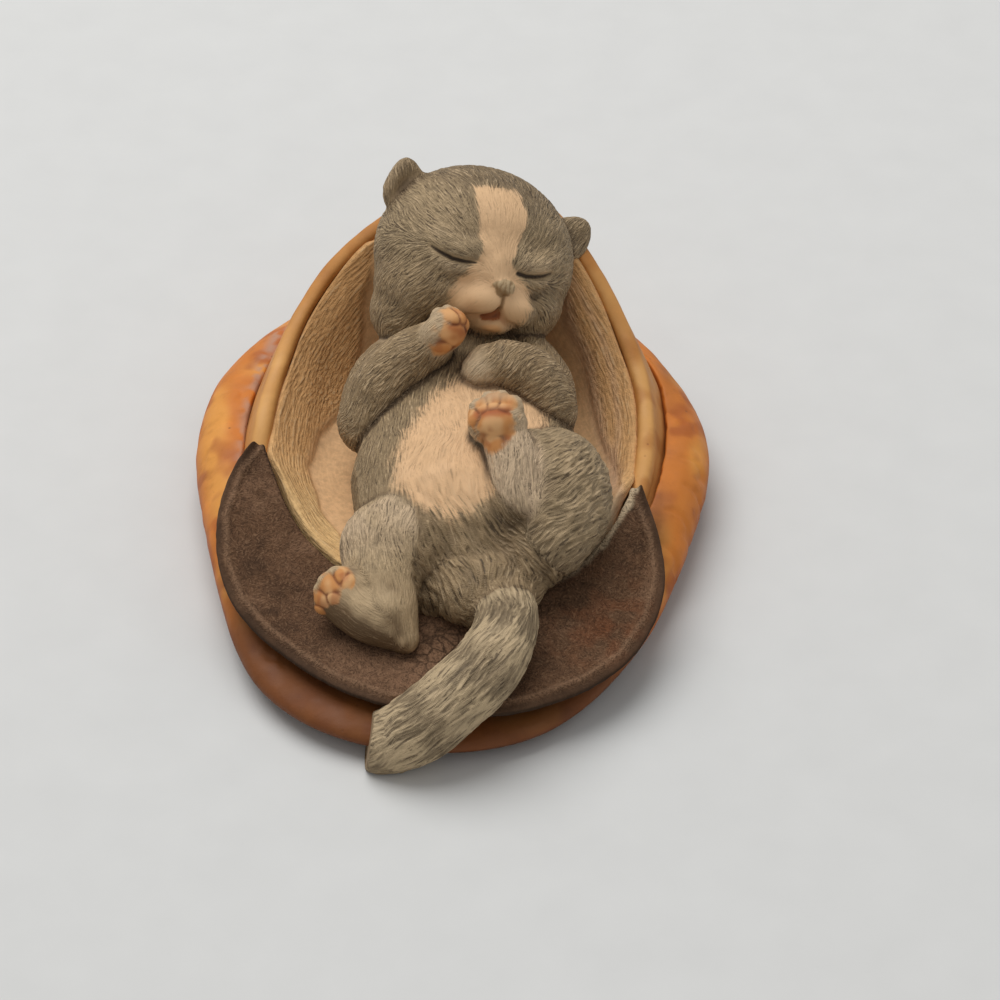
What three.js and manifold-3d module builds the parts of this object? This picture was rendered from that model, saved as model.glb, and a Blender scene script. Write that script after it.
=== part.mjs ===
// Sleeping kitten lying on its back in an upturned flat cap, a small painted figurine.
// Millimetres, +Z up, the visor and the tail towards -Y, the origin on the felt's flat face.
import * as THREE from 'three'
import { mergeVertices } from 'three/addons/utils/BufferGeometryUtils.js'
import Module from 'manifold-3d'

const wasm = await Module()
wasm.setup()

// Clearance between the cap's own pieces, and between a cut piece and its neighbour.
const gap = 0.3
const cutGap = 0.36
// How far a carved piece's skin may move when needless facets are dropped.
const facetLoss = 0.04

// Main sizes: the crown's width and length, the rim's highest point, the kitten's trunk and head,
// and how far the head's centre lies below the rim.
// The outlines below are drawn at the size measured, and are fitted to these.
const capWidth = 73
const capLength = 94.7
const rimHeight = 35.8
const trunkLength = 41
const headWide = 14
const headHigh = 12.6
const headDeep = 12.4
const headRest = 5.4

// The cap, all heights above the table.
const feltThick = 0.9
const feltInset = 6.2
const crownFoot = feltThick
const crownTop = 11.6
const tubFloor = 3.4
const bandFoot = tubFloor + gap
const bandThick = 2.7
const bandStraight = 9
const rimRoll = 1.5
const liningFoot = bandFoot
const floorHeight = 8.6
const visorThick = 1.7
const visorFront = 5.7
const visorTipRise = 8.5
const visorRun = 42
const capLean = 0.03
const capCentre = new THREE.Vector2(-1, 2)
const turns = 52

// Outline of the crown where it is fullest, anticlockwise from the front, x and y.
const crownOutline = [
  [1, -49.7], [10.5, -48.4], [17.6, -44.8], [23.4, -38], [28.2, -28.6], [32.4, -16.5], [34.8, -4], [35, 8],
  [33, 19], [28.8, 28.5], [23, 36], [14.5, 42], [4, 45], [-8, 45], [-19, 42.3], [-27.4, 36], [-33.6, 27.4],
  [-37.1, 17.6], [-38, 7], [-36.6, -4], [-33.7, -14], [-30.3, -23], [-27, -31.5], [-23.4, -39],
  [-17.4, -44.8], [-8.5, -48.8]
]

// The band's outer face where it leaves the crown, and the middle of the rim above it, x, y and z.
const bandOutline = [
  [0, -31.6], [10, -30.4], [19, -26.2], [25.6, -16.6], [28.6, -6], [29.6, 4], [29.2, 14], [27, 23.5],
  [21.8, 31], [14, 36], [4, 38], [-6, 37.8], [-16.5, 35.6], [-24.5, 30.2], [-29.2, 22], [-31, 12],
  [-30.8, 2], [-29.2, -8], [-25.4, -17], [-18.4, -25], [-9.6, -30]
]
const rimOutline = [
  [0, -29.3, 6.5], [9.5, -28.4, 6.8], [18.2, -24.2, 7.4], [24, -14, 9.4], [26, -5, 12],
  [26.6, 4, 14.4], [25.2, 14, 17], [21.8, 21.6, 20.8], [16.6, 27.6, 27.4], [9.6, 32.6, 33.2],
  [2.5, 34.8, 35.8], [-5, 34.4, 34.8], [-13, 31.2, 30.8], [-20, 26.6, 26], [-24.6, 19.5, 21],
  [-26.4, 10, 18.4], [-27, 1, 16.8], [-26.6, -7, 13], [-22.8, -15, 9.8], [-16.6, -22.6, 7.4],
  [-9, -27.6, 6.8]
]

// Edges of the visor from the left tip to the right tip, x and y.
const visorOuterEdge = [
  [-27.6, -5], [-29.9, -9.6], [-31, -17], [-29.8, -24.4], [-26.6, -31.2], [-22.3, -36], [-17, -40.2],
  [-11.5, -43.8], [-4.5, -46.4], [3.5, -47.2], [10.8, -46.4], [16.4, -44], [22.2, -40.2], [27.2, -34.8],
  [30.2, -28], [31.2, -21], [30, -14.5], [28, -9.5], [26.8, -6.2]
]
const visorInnerEdge = [
  [-25.9, -5.4], [-24, -9.2], [-22, -13], [-19, -17.5], [-15.5, -21], [-11.5, -24], [-7, -26.2],
  [-2, -27.4], [3, -27.4], [8, -26.4], [12.5, -24.4], [16.5, -21.4], [19.8, -17.8], [22.4, -13.8],
  [24, -10.4], [25.3, -6.8]
]

// The kitten's back, from shoulders to rump: x, y, height above the floor, half width, half thickness.
const backLine = [
  [1, 16, 9.4, 9, 8], [1.4, 9, 8.9, 12, 9.5], [2, 1, 7.4, 14.6, 10.4], [3, -7, 6.4, 16.6, 11],
  [4.4, -14, 5.8, 16.4, 10.6], [6.2, -20.5, 4.8, 13.6, 8.6], [7.6, -25, 3.6, 9.4, 6.4]
]

// How far the head is turned to its side, tilted up and rolled, in degrees.
const headTurn = 28
const headTilt = 31
const headRoll = -27.5

function span(points, axis) {
  const values = points.map(p => p[axis])
  return Math.max(...values) - Math.min(...values)
}

const across = capWidth / span(crownOutline, 0)
const lengthways = capLength / span(crownOutline, 1)
const upward = rimHeight / Math.max(...rimOutline.map(p => p[2]))
const kittenScale = trunkLength / span(backLine, 1)
const headCentre = new THREE.Vector3(0.1 * kittenScale, 22 * kittenScale, rimHeight - headRest)

function fitted(points) {
  return points.map(([x, y, z = 0]) => [x * across, y * lengthways, z * upward])
}

const crownPlan = fitted(crownOutline)
const bandPlan = fitted(bandOutline)
const rimLine = fitted(rimOutline)
const visorOuter = fitted(visorOuterEdge)
const visorInner = fitted(visorInnerEdge)
const visorFrontEdge = Math.min(...visorOuter.map(p => p[1]))

function closedCurve(points) {
  return new THREE.CatmullRomCurve3(points.map(p => new THREE.Vector3(...p)), true)
}

// Radius and height of a closed outline as a function of the angle about the cap's centre.
function polar(points) {
  const samples = closedCurve(points).getPoints(720).slice(0, 720).map(p => {
    const dx = p.x - capCentre.x
    const dy = p.y - capCentre.y
    return { angle: Math.atan2(dy, dx), r: Math.hypot(dx, dy), z: p.z }
  }).sort((a, b) => a.angle - b.angle)
  return angle => {
    const a = Math.atan2(Math.sin(angle), Math.cos(angle))
    let high = samples.findIndex(s => s.angle >= a)
    if (high < 0) high = 0
    const low = (high + samples.length - 1) % samples.length
    const span = THREE.MathUtils.euclideanModulo(samples[high].angle - samples[low].angle, 2 * Math.PI)
    const part = THREE.MathUtils.euclideanModulo(a - samples[low].angle, 2 * Math.PI) / span
    return {
      r: THREE.MathUtils.lerp(samples[low].r, samples[high].r, part),
      z: THREE.MathUtils.lerp(samples[low].z, samples[high].z, part)
    }
  }
}

function onPlan(angle, r, z) {
  return new THREE.Vector3(capCentre.x + r * Math.cos(angle), capCentre.y + r * Math.sin(angle), z)
}

// Underside of the visor, and with it the height the crown's front can reach.
function visorBase(x, y) {
  return visorFront + visorTipRise * (Math.max(0, y - visorFrontEdge) / visorRun) ** 2 - capLean * x
}

// Skin over a list of rings of equal count. Ends are closed with a fan, or joined when looped.
function skin(rings, looped = false) {
  const count = rings[0].length
  const vertices = rings.flat()
  const faces = []
  const last = looped ? rings.length : rings.length - 1
  for (let i = 0; i < last; i++) {
    const a = i * count
    const b = ((i + 1) % rings.length) * count
    for (let j = 0; j < count; j++) {
      const k = (j + 1) % count
      faces.push(a + j, a + k, b + k, a + j, b + k, b + j)
    }
  }
  if (!looped) {
    const first = vertices.length
    vertices.push(middle(rings[0]), middle(rings.at(-1)))
    const top = (rings.length - 1) * count
    for (let j = 0; j < count; j++) {
      const k = (j + 1) % count
      faces.push(first, k, j, first + 1, top + j, top + k)
    }
  }
  const geometry = new THREE.BufferGeometry().setFromPoints(vertices)
  geometry.setIndex(faces)
  return geometry
}

function middle(ring) {
  const sum = new THREE.Vector3()
  ring.forEach(p => sum.add(p))
  return sum.divideScalar(ring.length)
}

// A solid for joining and cutting, faces turned outwards.
function solid(geometry) {
  const g = geometry.index ? geometry.clone() : geometry
  g.deleteAttribute('normal')
  g.deleteAttribute('uv')
  const merged = mergeVertices(g, 1e-4)
  const position = merged.attributes.position
  const index = Array.from(merged.index.array)
  const kept = []
  for (let i = 0; i < index.length; i += 3) {
    const [a, b, c] = index.slice(i, i + 3)
    if (a !== b && b !== c && c !== a) kept.push(a, b, c)
  }
  const a = new THREE.Vector3()
  const b = new THREE.Vector3()
  const c = new THREE.Vector3()
  let volume = 0
  for (let i = 0; i < kept.length; i += 3) {
    a.fromBufferAttribute(position, kept[i])
    b.fromBufferAttribute(position, kept[i + 1])
    c.fromBufferAttribute(position, kept[i + 2])
    volume += a.dot(b.cross(c)) / 6
  }
  if (volume < 0) kept.reverse()
  return new wasm.Manifold(new wasm.Mesh({
    numProp: 3,
    vertProperties: new Float32Array(position.array),
    triVerts: new Uint32Array(kept)
  }))
}

function joined(solids) {
  return solids.reduce((all, one) => all.add(one))
}

function cut(body, tools) {
  return tools.reduce((left, tool) => left.subtract(tool), body)
}

// A piece cut by its neighbours: the largest body is kept, without crumbs or needless facets.
function carved(body, tools) {
  const bodies = cut(body, tools).decompose()
  const main = bodies.sort((a, b) => b.volume() - a.volume())[0]
  return main.asOriginal().simplify(facetLoss)
}

// Rings round the cap from a profile of r and z at each angle, grown outwards when asked.
function capSkin(profile, grow, looped) {
  const columns = []
  for (let i = 0; i < turns; i++) {
    const angle = i * 2 * Math.PI / turns
    const line = profile(angle)
    columns.push(line.map((p, j) => {
      const before = line[looped ? (j + line.length - 1) % line.length : Math.max(j - 1, 0)]
      const after = line[looped ? (j + 1) % line.length : Math.min(j + 1, line.length - 1)]
      const one = new THREE.Vector2(p[1] - before[1], before[0] - p[0]).normalize()
      const two = new THREE.Vector2(after[1] - p[1], p[0] - after[0]).normalize()
      const out = one.clone().add(two)
      out.multiplyScalar(1 / Math.max(out.lengthSq() / 2, 0.6))
      return onPlan(angle, p[0] + out.x * grow, p[1] + out.y * grow)
    }))
  }
  const rings = columns[0].map((_, j) => columns.map(column => column[j]))
  return solid(skin(rings, looped))
}

const crownAt = polar(crownPlan)
const bandAt = polar(bandPlan)
const rimAt = polar(rimLine)
const visorInnerAt = polar([...visorInner, ...fitted([[23, 8], [14, 24], [0, 28], [-14, 24], [-23, 8]])])

function baseFelt() {
  return capSkin(angle => {
    const r = crownAt(angle).r - feltInset
    return [[r - 0.5, 0], [r, 0.3], [r, feltThick - 0.3 - gap], [r - 0.5, feltThick - gap]]
  }, 0, false)
}

// A puffed ring of cloth: full outside, hollowed in the middle where band and lining stand.
function crownProfile(angle) {
  const r = crownAt(angle).r
  const inner = bandAt(angle).r + gap
  const wave = 0.35 * Math.sin(angle * 3 + 0.6) + 0.25 * Math.sin(angle * 7)
  const high = crownTop - crownFoot
  const side = onPlan(angle, r - high * 0.37, 0)
  const top = Math.min(crownTop, visorBase(side.x, side.y) - 0.7)
  const outer = [
    [0.607, 0], [0.336, 0.033], [0.131, 0.159], [0.023, 0.336], [0, 0.523], [0.065, 0.71],
    [0.206, 0.869], [0.411, 0.972]
  ]
  const line = outer.map(([inset, z], j) => {
    const full = r - inset * high + wave * Math.min(1, z * 2.7)
    return [j < 3 ? full : Math.max(full, inner + 2.2 - j * 0.2), crownFoot + z * (top - crownFoot)]
  })
  line.push([inner + Math.max(0.4, (r - high * 0.607 - inner) * 0.4), crownTop - 0.3])
  line.push([inner, crownTop - 0.8])
  line.push([inner, tubFloor])
  line.push([inner - 6, tubFloor])
  return line.map(([d, z]) => {
    const spot = onPlan(angle, d, 0)
    return [d, Math.min(z, visorBase(spot.x, spot.y) - 1)]
  })
}

function bandProfile(angle) {
  const foot = bandAt(angle).r
  const rim = rimAt(angle)
  const under = onPlan(angle, rim.r, 0)
  if (under.y < -6) rim.z = Math.min(rim.z, visorBase(under.x, under.y) - 0.8)
  const lean = rim.r - foot
  const low = Math.min(bandStraight, rim.z - 2.2)
  const at = height => foot + lean * THREE.MathUtils.clamp((height - low) / (rim.z - low), 0, 1)
  const mid = (low + rim.z) / 2
  const puff = 0.5 * THREE.MathUtils.clamp((rim.z - 13) / 6, 0, 1)
  return [
    [foot - bandThick, bandFoot], [foot - 0.3, bandFoot], [foot, bandFoot + 0.4], [at(low), low],
    [at(mid) + puff, mid], [rim.r + rimRoll, rim.z - rimRoll], [rim.r + rimRoll * 0.72, rim.z - 0.35],
    [rim.r, rim.z], [rim.r - rimRoll * 0.72, rim.z - 0.4], [rim.r - rimRoll, rim.z - rimRoll],
    [at(mid) - bandThick, mid - 0.6], [at(low) - bandThick, low]
  ]
}

// The lining: a bowl inside the band, its lip just under the rim and at the visor's inner edge.
function liningProfile(angle) {
  const line = bandProfile(angle)
  const foot = line[0][0] - gap
  const rim = rimAt(angle)
  const edge = visorInnerAt(angle)
  const spot = onPlan(angle, edge.r - 1, 0)
  const front = THREE.MathUtils.smoothstep(-spot.y, 2, 6)
  const sideLip = rim.r - rimRoll - gap - 0.1
  const lipR = THREE.MathUtils.lerp(sideLip, Math.min(edge.r - gap, sideLip), front)
  const lipZ = THREE.MathUtils.lerp(rim.z - 1.6, visorBase(spot.x, spot.y) + 1, front)
  const drop = lipZ - floorHeight
  const run = THREE.MathUtils.clamp(4.5 + drop * 0.28, 4.5, 9)
  return [
    [foot, liningFoot], [Math.min(line[11][0] - gap, lipR), Math.min(line[11][1], lipZ - 2.4)],
    [Math.min(line[10][0] - gap, lipR), Math.min(line[10][1], lipZ - 1.4)], [lipR - 0.1, lipZ - 0.6],
    [lipR - 0.7, lipZ], [lipR - 1.3, lipZ - 0.4], [lipR - run * 0.45, floorHeight + drop * 0.52],
    [lipR - run * 0.8, floorHeight + drop * 0.16], [lipR - run * 1.15, floorHeight + 0.25],
    [lipR - run * 1.7, floorHeight]
  ]
}

function crown(grow = 0) {
  return capSkin(crownProfile, grow, false)
}

function band(grow = 0) {
  return capSkin(bandProfile, grow, true)
}

function lining(grow = 0) {
  return capSkin(liningProfile, grow, false)
}

// The visor: thin rounded sections from tip to tip, with a welt along the raised outer edge.
function visor(grow = 0) {
  const stations = 40
  const flat = points => new THREE.CatmullRomCurve3(points.map(p => new THREE.Vector3(p[0], p[1], 0)))
  const outer = flat(visorOuter).getPoints(stations)
  const inner = flat(visorInner).getPoints(stations)
  const sections = [0, 0.04, 0.3, 0.62, 0.86, 0.97, 1, 0.97, 0.86, 0.62, 0.3, 0.04]
  const rings = outer.map((o, i) => {
    const n = inner[i]
    const end = Math.min(i, stations - i) / 3
    const thin = Math.min(1, 0.45 + 0.55 * end)
    const width = o.distanceTo(n)
    const out = o.clone().sub(n).normalize()
    return sections.map((t, j) => {
      const p = n.clone().lerp(o, t)
      const upper = j > 6
      const middleEdge = j === 0 || j === 6
      const shape = middleEdge ? 0.5 : upper ? 1 : 0
      const dish = 0.3 * Math.sin(t * Math.PI) * Math.min(1, width / 12)
      const brim = 0.54 * THREE.MathUtils.smoothstep(t, 0.6, 1)
      const welt = j === 8 ? 0.35 * thin : 0
      const half = (shape - 0.5) * (visorThick * thin + 2.3 * grow)
      p.z = visorBase(p.x, p.y) + 0.9 - dish + brim + half + welt
      if (middleEdge) p.addScaledVector(out, j === 0 ? -grow : grow)
      return p
    })
  })
  const along = rings[0].map((_, j) => rings[1][j].clone().sub(rings[0][j]).normalize())
  const away = rings[0].map((_, j) => rings.at(-1)[j].clone().sub(rings.at(-2)[j]).normalize())
  rings[0].forEach((p, j) => p.addScaledVector(along[j], -grow))
  rings.at(-1).forEach((p, j) => p.addScaledVector(away[j], grow))
  return solid(skin(rings))
}

// An ellipsoid with its own axes.
function ball(centre, radii, grow = 0, turn = new THREE.Quaternion(), fine = 20) {
  const g = new THREE.SphereGeometry(1, fine, Math.round(fine * 0.62))
  g.scale(radii[0] + grow, radii[1] + grow, radii[2] + grow)
  g.applyQuaternion(turn)
  g.translate(centre.x, centre.y, centre.z)
  return solid(g)
}

// A point of the kitten from its drawn place: x, y and height above the floor.
function onKitten(x, y, z) {
  const p = new THREE.Vector3(x, y, z).multiplyScalar(kittenScale)
  p.z += floorHeight
  return p
}

// A limb along a curve, round at both ends: x, y, height above the floor, half width, half thickness.
function limb(stations, grow = 0, options = {}) {
  const points = stations.map(s => onKitten(...s))
  const sizes = stations.map(s => new THREE.Vector3(s[3], s[4] ?? s[3], 0).multiplyScalar(kittenScale))
  return sweep(points, sizes, grow, options)
}

function sweep(places, halves, grow, { up = [0, 0, 1], round = 16, steps = 3 }) {
  const curve = new THREE.CatmullRomCurve3(places)
  const sizes = new THREE.CatmullRomCurve3(halves)
  const count = (places.length - 1) * steps
  const reference = new THREE.Vector3(...up)
  const rings = []
  const ring = (t, shift, shrink) => {
    const along = curve.getTangent(t)
    const centre = curve.getPoint(t)
    const size = sizes.getPoint(t)
    const side = new THREE.Vector3().crossVectors(along, reference).normalize()
    const top = new THREE.Vector3().crossVectors(side, along).normalize()
    const reach = (Math.min(size.x, size.y) + grow) * shift
    centre.addScaledVector(along, reach)
    const points = []
    for (let j = 0; j < round; j++) {
      const a = j * 2 * Math.PI / round
      points.push(centre.clone()
        .addScaledVector(side, (size.x + grow) * shrink * Math.cos(a))
        .addScaledVector(top, (size.y + grow) * shrink * Math.sin(a)))
    }
    rings.push(points)
  }
  const domes = [80, 55, 28].map(d => d * Math.PI / 180)
  domes.forEach(d => ring(0, -Math.sin(d), Math.cos(d)))
  for (let i = 0; i <= count; i++) ring(i / count, 0, 1)
  domes.slice().reverse().forEach(d => ring(1, Math.sin(d), Math.cos(d)))
  return solid(skin(rings))
}

// Head frame: face looks along forward, right is the viewer's right.
function headFrame() {
  const turn = headTurn * Math.PI / 180
  const tilt = headTilt * Math.PI / 180
  const forward = new THREE.Vector3(
    Math.sin(turn) * Math.cos(tilt), -Math.cos(turn) * Math.cos(tilt), Math.sin(tilt))
  const level = new THREE.Vector3(Math.cos(turn), Math.sin(turn), 0)
  const right = level.applyAxisAngle(forward, headRoll * Math.PI / 180)
  const up = new THREE.Vector3().crossVectors(forward, right).negate()
  if (up.z < 0) up.negate()
  const matrix = new THREE.Matrix4().makeBasis(right, up, forward)
  return { forward, right, up, turn: new THREE.Quaternion().setFromRotationMatrix(matrix) }
}

const face = headFrame()

// A point of the head, in shares of its half width.
function onHead(right, up, forward) {
  return headCentre.clone()
    .addScaledVector(face.right, right * headWide)
    .addScaledVector(face.up, up * headWide)
    .addScaledVector(face.forward, forward * headWide)
}

// Swellings of the head: place, half sizes, and whether there is one on each side.
const swellings = {
  forehead: [[0, 0.25, 0.086], [0.786, 0.614, 0.757], false],
  cheek: [[0.429, -0.314, 0.257], [0.557, 0.471, 0.529], true],
  bridge: [[0, -0.086, 0.614], [0.229, 0.357, 0.329], false],
  muzzle: [[0.15, -0.357, 0.786], [0.229, 0.193, 0.243], true],
  nose: [[0, -0.207, 0.936], [0.107, 0.079, 0.093], false],
  chin: [[0, -0.586, 0.671], [0.214, 0.136, 0.229], false]
}

function head(grow = 0) {
  const parts = [ball(headCentre, [headWide, headHigh, headDeep], grow, face.turn, 26)]
  for (const [place, halves, paired] of Object.values(swellings)) {
    const radii = halves.map(h => h * headWide)
    for (const side of paired ? [-1, 1] : [1]) {
      const centre = onHead(side * place[0], place[1], place[2])
      parts.push(ball(centre, radii, grow, face.turn, radii[0] > 4 ? 20 : 14))
    }
  }
  return joined(parts)
}

// Closed eyes: a shallow curved groove on each side.
function eyes() {
  const size = new THREE.Vector3(0.032, 0.032, 0).multiplyScalar(headWide)
  return joined([-1, 1].map(side => {
    const line = [-0.186, -0.071, 0.057, 0.186].map(s => onHead(
      side * 0.393 + s, -0.029 - 0.043 * Math.cos(s * 8.4), 0.857 - 0.38 * (side * s + 0.186)))
    return sweep(line, line.map(() => size), 0, { round: 8, steps: 2 })
  }))
}

function earShape(side, grow = 0) {
  const drop = side > 0 ? 0.15 : 0
  const base = onHead(side * 0.657 + drop * 0.3, 0.414 - drop, 0.029)
  const tip = onHead(side * 0.943, 0.707 - drop, 0.029)
  const places = [base, base.clone().lerp(tip, 0.55), tip]
  const halves = [[0.329, 0.114], [0.279, 0.093], [0.15, 0.064]]
    .map(([wide, thick]) => new THREE.Vector3(wide, thick, 0).multiplyScalar(headWide))
  return sweep(places, halves, grow, { up: face.forward.toArray(), round: 14 })
}

function torso(grow = 0) {
  return limb(backLine, grow, { round: 24 })
}

// A paw: a mitt with four toes at its end and a pad on the side that looks outwards.
function paw(centre, along, outward, size, grow = 0) {
  const tipward = new THREE.Vector3(...along).normalize()
  const sideways = new THREE.Vector3().crossVectors(new THREE.Vector3(...outward), tipward).normalize()
  const out = new THREE.Vector3().crossVectors(tipward, sideways).normalize()
  const basis = new THREE.Matrix4().makeBasis(sideways, tipward, out)
  const turn = new THREE.Quaternion().setFromRotationMatrix(basis)
  const at = (a, t, o) => onKitten(...centre)
    .addScaledVector(sideways, a).addScaledVector(tipward, t).addScaledVector(out, o)
  const [wide, long, thick] = size.map(v => v * kittenScale)
  const balls = [ball(at(0, 0, 0), [wide, long, thick], grow, turn, 16)]
  for (let i = -1.5; i < 2; i++) {
    const back = 0.25 * i * i
    balls.push(ball(at(i * wide * 0.44, long * 0.82 - back, thick * 0.12),
      [wide * 0.3, wide * 0.36, thick * 0.55], grow, turn, 10))
  }
  balls.push(ball(at(0, -long * 0.1, thick * 0.62), [wide * 0.55, wide * 0.5, thick * 0.55], grow, turn, 12))
  return joined(balls)
}

const foreRight = {
  upper: [[-6.6, 11, 12, 5.2], [-10.2, 5.4, 11.2, 5.4], [-11.6, 0, 8.8, 5]],
  lower: [[-11.6, -0.4, 9.2, 4.8], [-9.8, 1.8, 13.4, 4.8], [-6.4, 3.8, 17.4, 4.2], [-3.8, 4.6, 19.4, 3.4]],
  paw: [[-1.7, 3.9, 21.6], [0.4, 0.6, 0.75], [0.6, -0.6, 0.45], [3, 3.7, 2.5]]
}
const foreLeft = {
  upper: [[7, 12.6, 11.8, 5.2], [10.8, 6.6, 11.8, 5.2], [12.4, 1.6, 11.4, 4.8]],
  lower: [[12.2, 1.8, 12.2, 4.8], [10, 3.2, 15.4, 4.7], [7, 3.2, 17.2, 4.1], [4.6, 2.6, 17.6, 3.5]],
  paw: [[3.2, 1.9, 17], [-0.93, -0.3, -0.22], [-0.1, -0.5, -0.85], [3, 3.2, 2.6]]
}

function foreleg(shape, grow = 0) {
  return joined([limb(shape.upper, grow), limb(shape.lower, grow), paw(...shape.paw, grow)])
}

function hindLeft(grow = 0) {
  const haunch = [9, 11, 9.2].map(v => v * kittenScale)
  const thigh = ball(onKitten(14.6, -13.4, 8), haunch, grow, undefined, 26)
  const shank = limb([[15.4, -19.6, 7.8, 6.4], [13, -23.6, 8.2, 5.2], [10.6, -25, 10, 4]], grow)
  const foot = limb([
    [10.2, -24.6, 11, 3.7, 3.4], [9.2, -20.4, 14.4, 3.5, 2.9], [7.9, -15.8, 17.1, 3.5, 2.8],
    [7.2, -12.3, 18.7, 3.5, 2.6]
  ], grow, { up: [0, -0.76, 0.64] })
  const sole = paw([6.9, -10.8, 19.7], [-0.16, 0.68, 0.72], [-0.1, -0.7, 0.7], [4.2, 4.3, 2.8], grow)
  return joined([thigh, shank, foot, sole])
}

function hindRight(grow = 0) {
  const thigh = limb([[1, -19, 4.4, 8.4], [-3.4, -21, 5.4, 8], [-6.4, -22.6, 5.4, 6.8]], grow, { round: 20 })
  const shank = limb([[-6.8, -23.4, 5, 6], [-5.6, -28.8, 4.2, 5.4], [-3.4, -33.2, 3.2, 4.4]], grow)
  const foot = limb([
    [-3.4, -33.8, 3, 4, 3.5], [-7, -33, 3.4, 4, 3.7], [-10.2, -31.8, 4, 3.8, 3.6]
  ], grow)
  const sole = paw([-11.2, -31.6, 4.3], [-0.92, 0.2, 0.32], [-0.35, -0.72, 0.6], [3.9, 3.9, 3.2], grow)
  return joined([thigh, shank, foot, sole])
}

function tail(grow = 0) {
  return limb([
    [8.6, -23, 3.8, 4.2, 4.2], [10.2, -29, 4.4, 4.3, 4], [11, -34.4, 4.4, 4.6, 3.8],
    [8.6, -40, 3.4, 4.9, 3.6], [4.4, -44, 1.8, 5.2, 3.4], [0.8, -46.8, -0.4, 5.6, 3.2],
    [-1, -48.2, -3.6, 5.9, 3], [-1.8, -47.2, -6.4, 5.6, 2.4]
  ], grow, { round: 18 })
}

const colours = {
  felt: 0x2a2d28,
  crown: 0xc9823e,
  band: 0xd6944f,
  lining: 0xbfa07a,
  visor: 0x5c4a3e,
  fur: 0x7f766a,
  furLight: 0x8b8275
}

const group = new THREE.Group()
group.name = 'kitten_in_cap'

function addPiece(name, body, colour, roughness) {
  const mesh = body.getMesh()
  const geometry = new THREE.BufferGeometry()
  geometry.setAttribute('position', new THREE.BufferAttribute(new Float32Array(mesh.vertProperties), 3))
  geometry.setIndex(new THREE.BufferAttribute(new Uint32Array(mesh.triVerts), 1))
  geometry.computeVertexNormals()
  const material = new THREE.MeshStandardMaterial({ color: colour, roughness, metalness: 0 })
  const piece = new THREE.Mesh(geometry, material)
  piece.name = name
  group.add(piece)
}

// Fills the crevice between lining, band and visor, so no paw or haunch runs down into it.
function crevice() {
  return capSkin(angle => {
    const edge = visorInnerAt(angle)
    const spot = onPlan(angle, edge.r - 1, 0)
    const front = spot.y < -2
    const reach = front ? edge.r + 2 : Math.min(edge.r, rimAt(angle).r - 4)
    const top = front ? visorBase(spot.x, spot.y) + 0.9 : floorHeight + gap
    return [[reach, 2], [reach, top], [edge.r - 4, floorHeight + gap]]
  }, 0, false)
}

const bed = joined([crown(cutGap), band(cutGap), lining(cutGap), visor(cutGap), crevice()])
const tableTop = solid(new THREE.BoxGeometry(200, 200, 20).translate(0, 0, -9.7))

const pawRight = foreleg(foreRight, cutGap)
const pawLeft = foreleg(foreLeft, cutGap)
const skull = head(cutGap)
const trunk = torso(cutGap)

addPiece('base_felt', baseFelt(), colours.felt, 0.95)
addPiece('cap_crown', crown(), colours.crown, 0.6)
addPiece('cap_band', band(), colours.band, 0.6)
addPiece('cap_lining', lining(), colours.lining, 0.75)
addPiece('visor', visor(), colours.visor, 0.9)
addPiece('head', carved(head(), [bed, eyes()]), colours.fur, 0.8)
addPiece('torso', carved(torso(), [bed, skull]), colours.fur, 0.8)
addPiece('ear_left', carved(earShape(1), [bed, skull]), colours.furLight, 0.8)
addPiece('ear_right', carved(earShape(-1), [bed, skull]), colours.furLight, 0.8)
addPiece('foreleg_right', carved(foreleg(foreRight), [bed, skull, trunk]), colours.furLight, 0.8)
addPiece('foreleg_left', carved(foreleg(foreLeft), [bed, skull, trunk, pawRight]), colours.furLight, 0.8)
addPiece('hind_leg_left', carved(hindLeft(), [bed, trunk, pawLeft]), colours.furLight, 0.8)
addPiece('hind_leg_right', carved(hindRight(), [bed, trunk, pawRight, hindLeft(cutGap)]),
  colours.furLight, 0.8)
addPiece('tail', carved(tail(), [bed, tableTop, trunk, hindLeft(cutGap), hindRight(cutGap)]),
  colours.fur, 0.8)

export default group
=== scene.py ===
import math

import bpy
import numpy as np
from mathutils import Matrix, Vector


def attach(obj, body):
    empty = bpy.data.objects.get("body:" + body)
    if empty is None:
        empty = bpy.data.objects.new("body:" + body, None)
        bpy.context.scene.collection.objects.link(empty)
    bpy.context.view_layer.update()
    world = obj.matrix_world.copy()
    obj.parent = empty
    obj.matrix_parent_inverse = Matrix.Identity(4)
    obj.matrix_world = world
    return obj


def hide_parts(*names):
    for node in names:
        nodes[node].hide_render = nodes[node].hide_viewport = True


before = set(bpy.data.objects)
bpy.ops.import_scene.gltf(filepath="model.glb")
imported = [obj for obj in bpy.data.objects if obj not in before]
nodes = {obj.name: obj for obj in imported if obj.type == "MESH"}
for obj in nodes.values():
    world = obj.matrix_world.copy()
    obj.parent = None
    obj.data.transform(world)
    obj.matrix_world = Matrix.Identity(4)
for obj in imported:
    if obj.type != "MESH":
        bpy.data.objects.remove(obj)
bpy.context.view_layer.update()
mm = 0.001
floorHeight = 8.6  # the lining's floor above the table, mm

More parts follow.
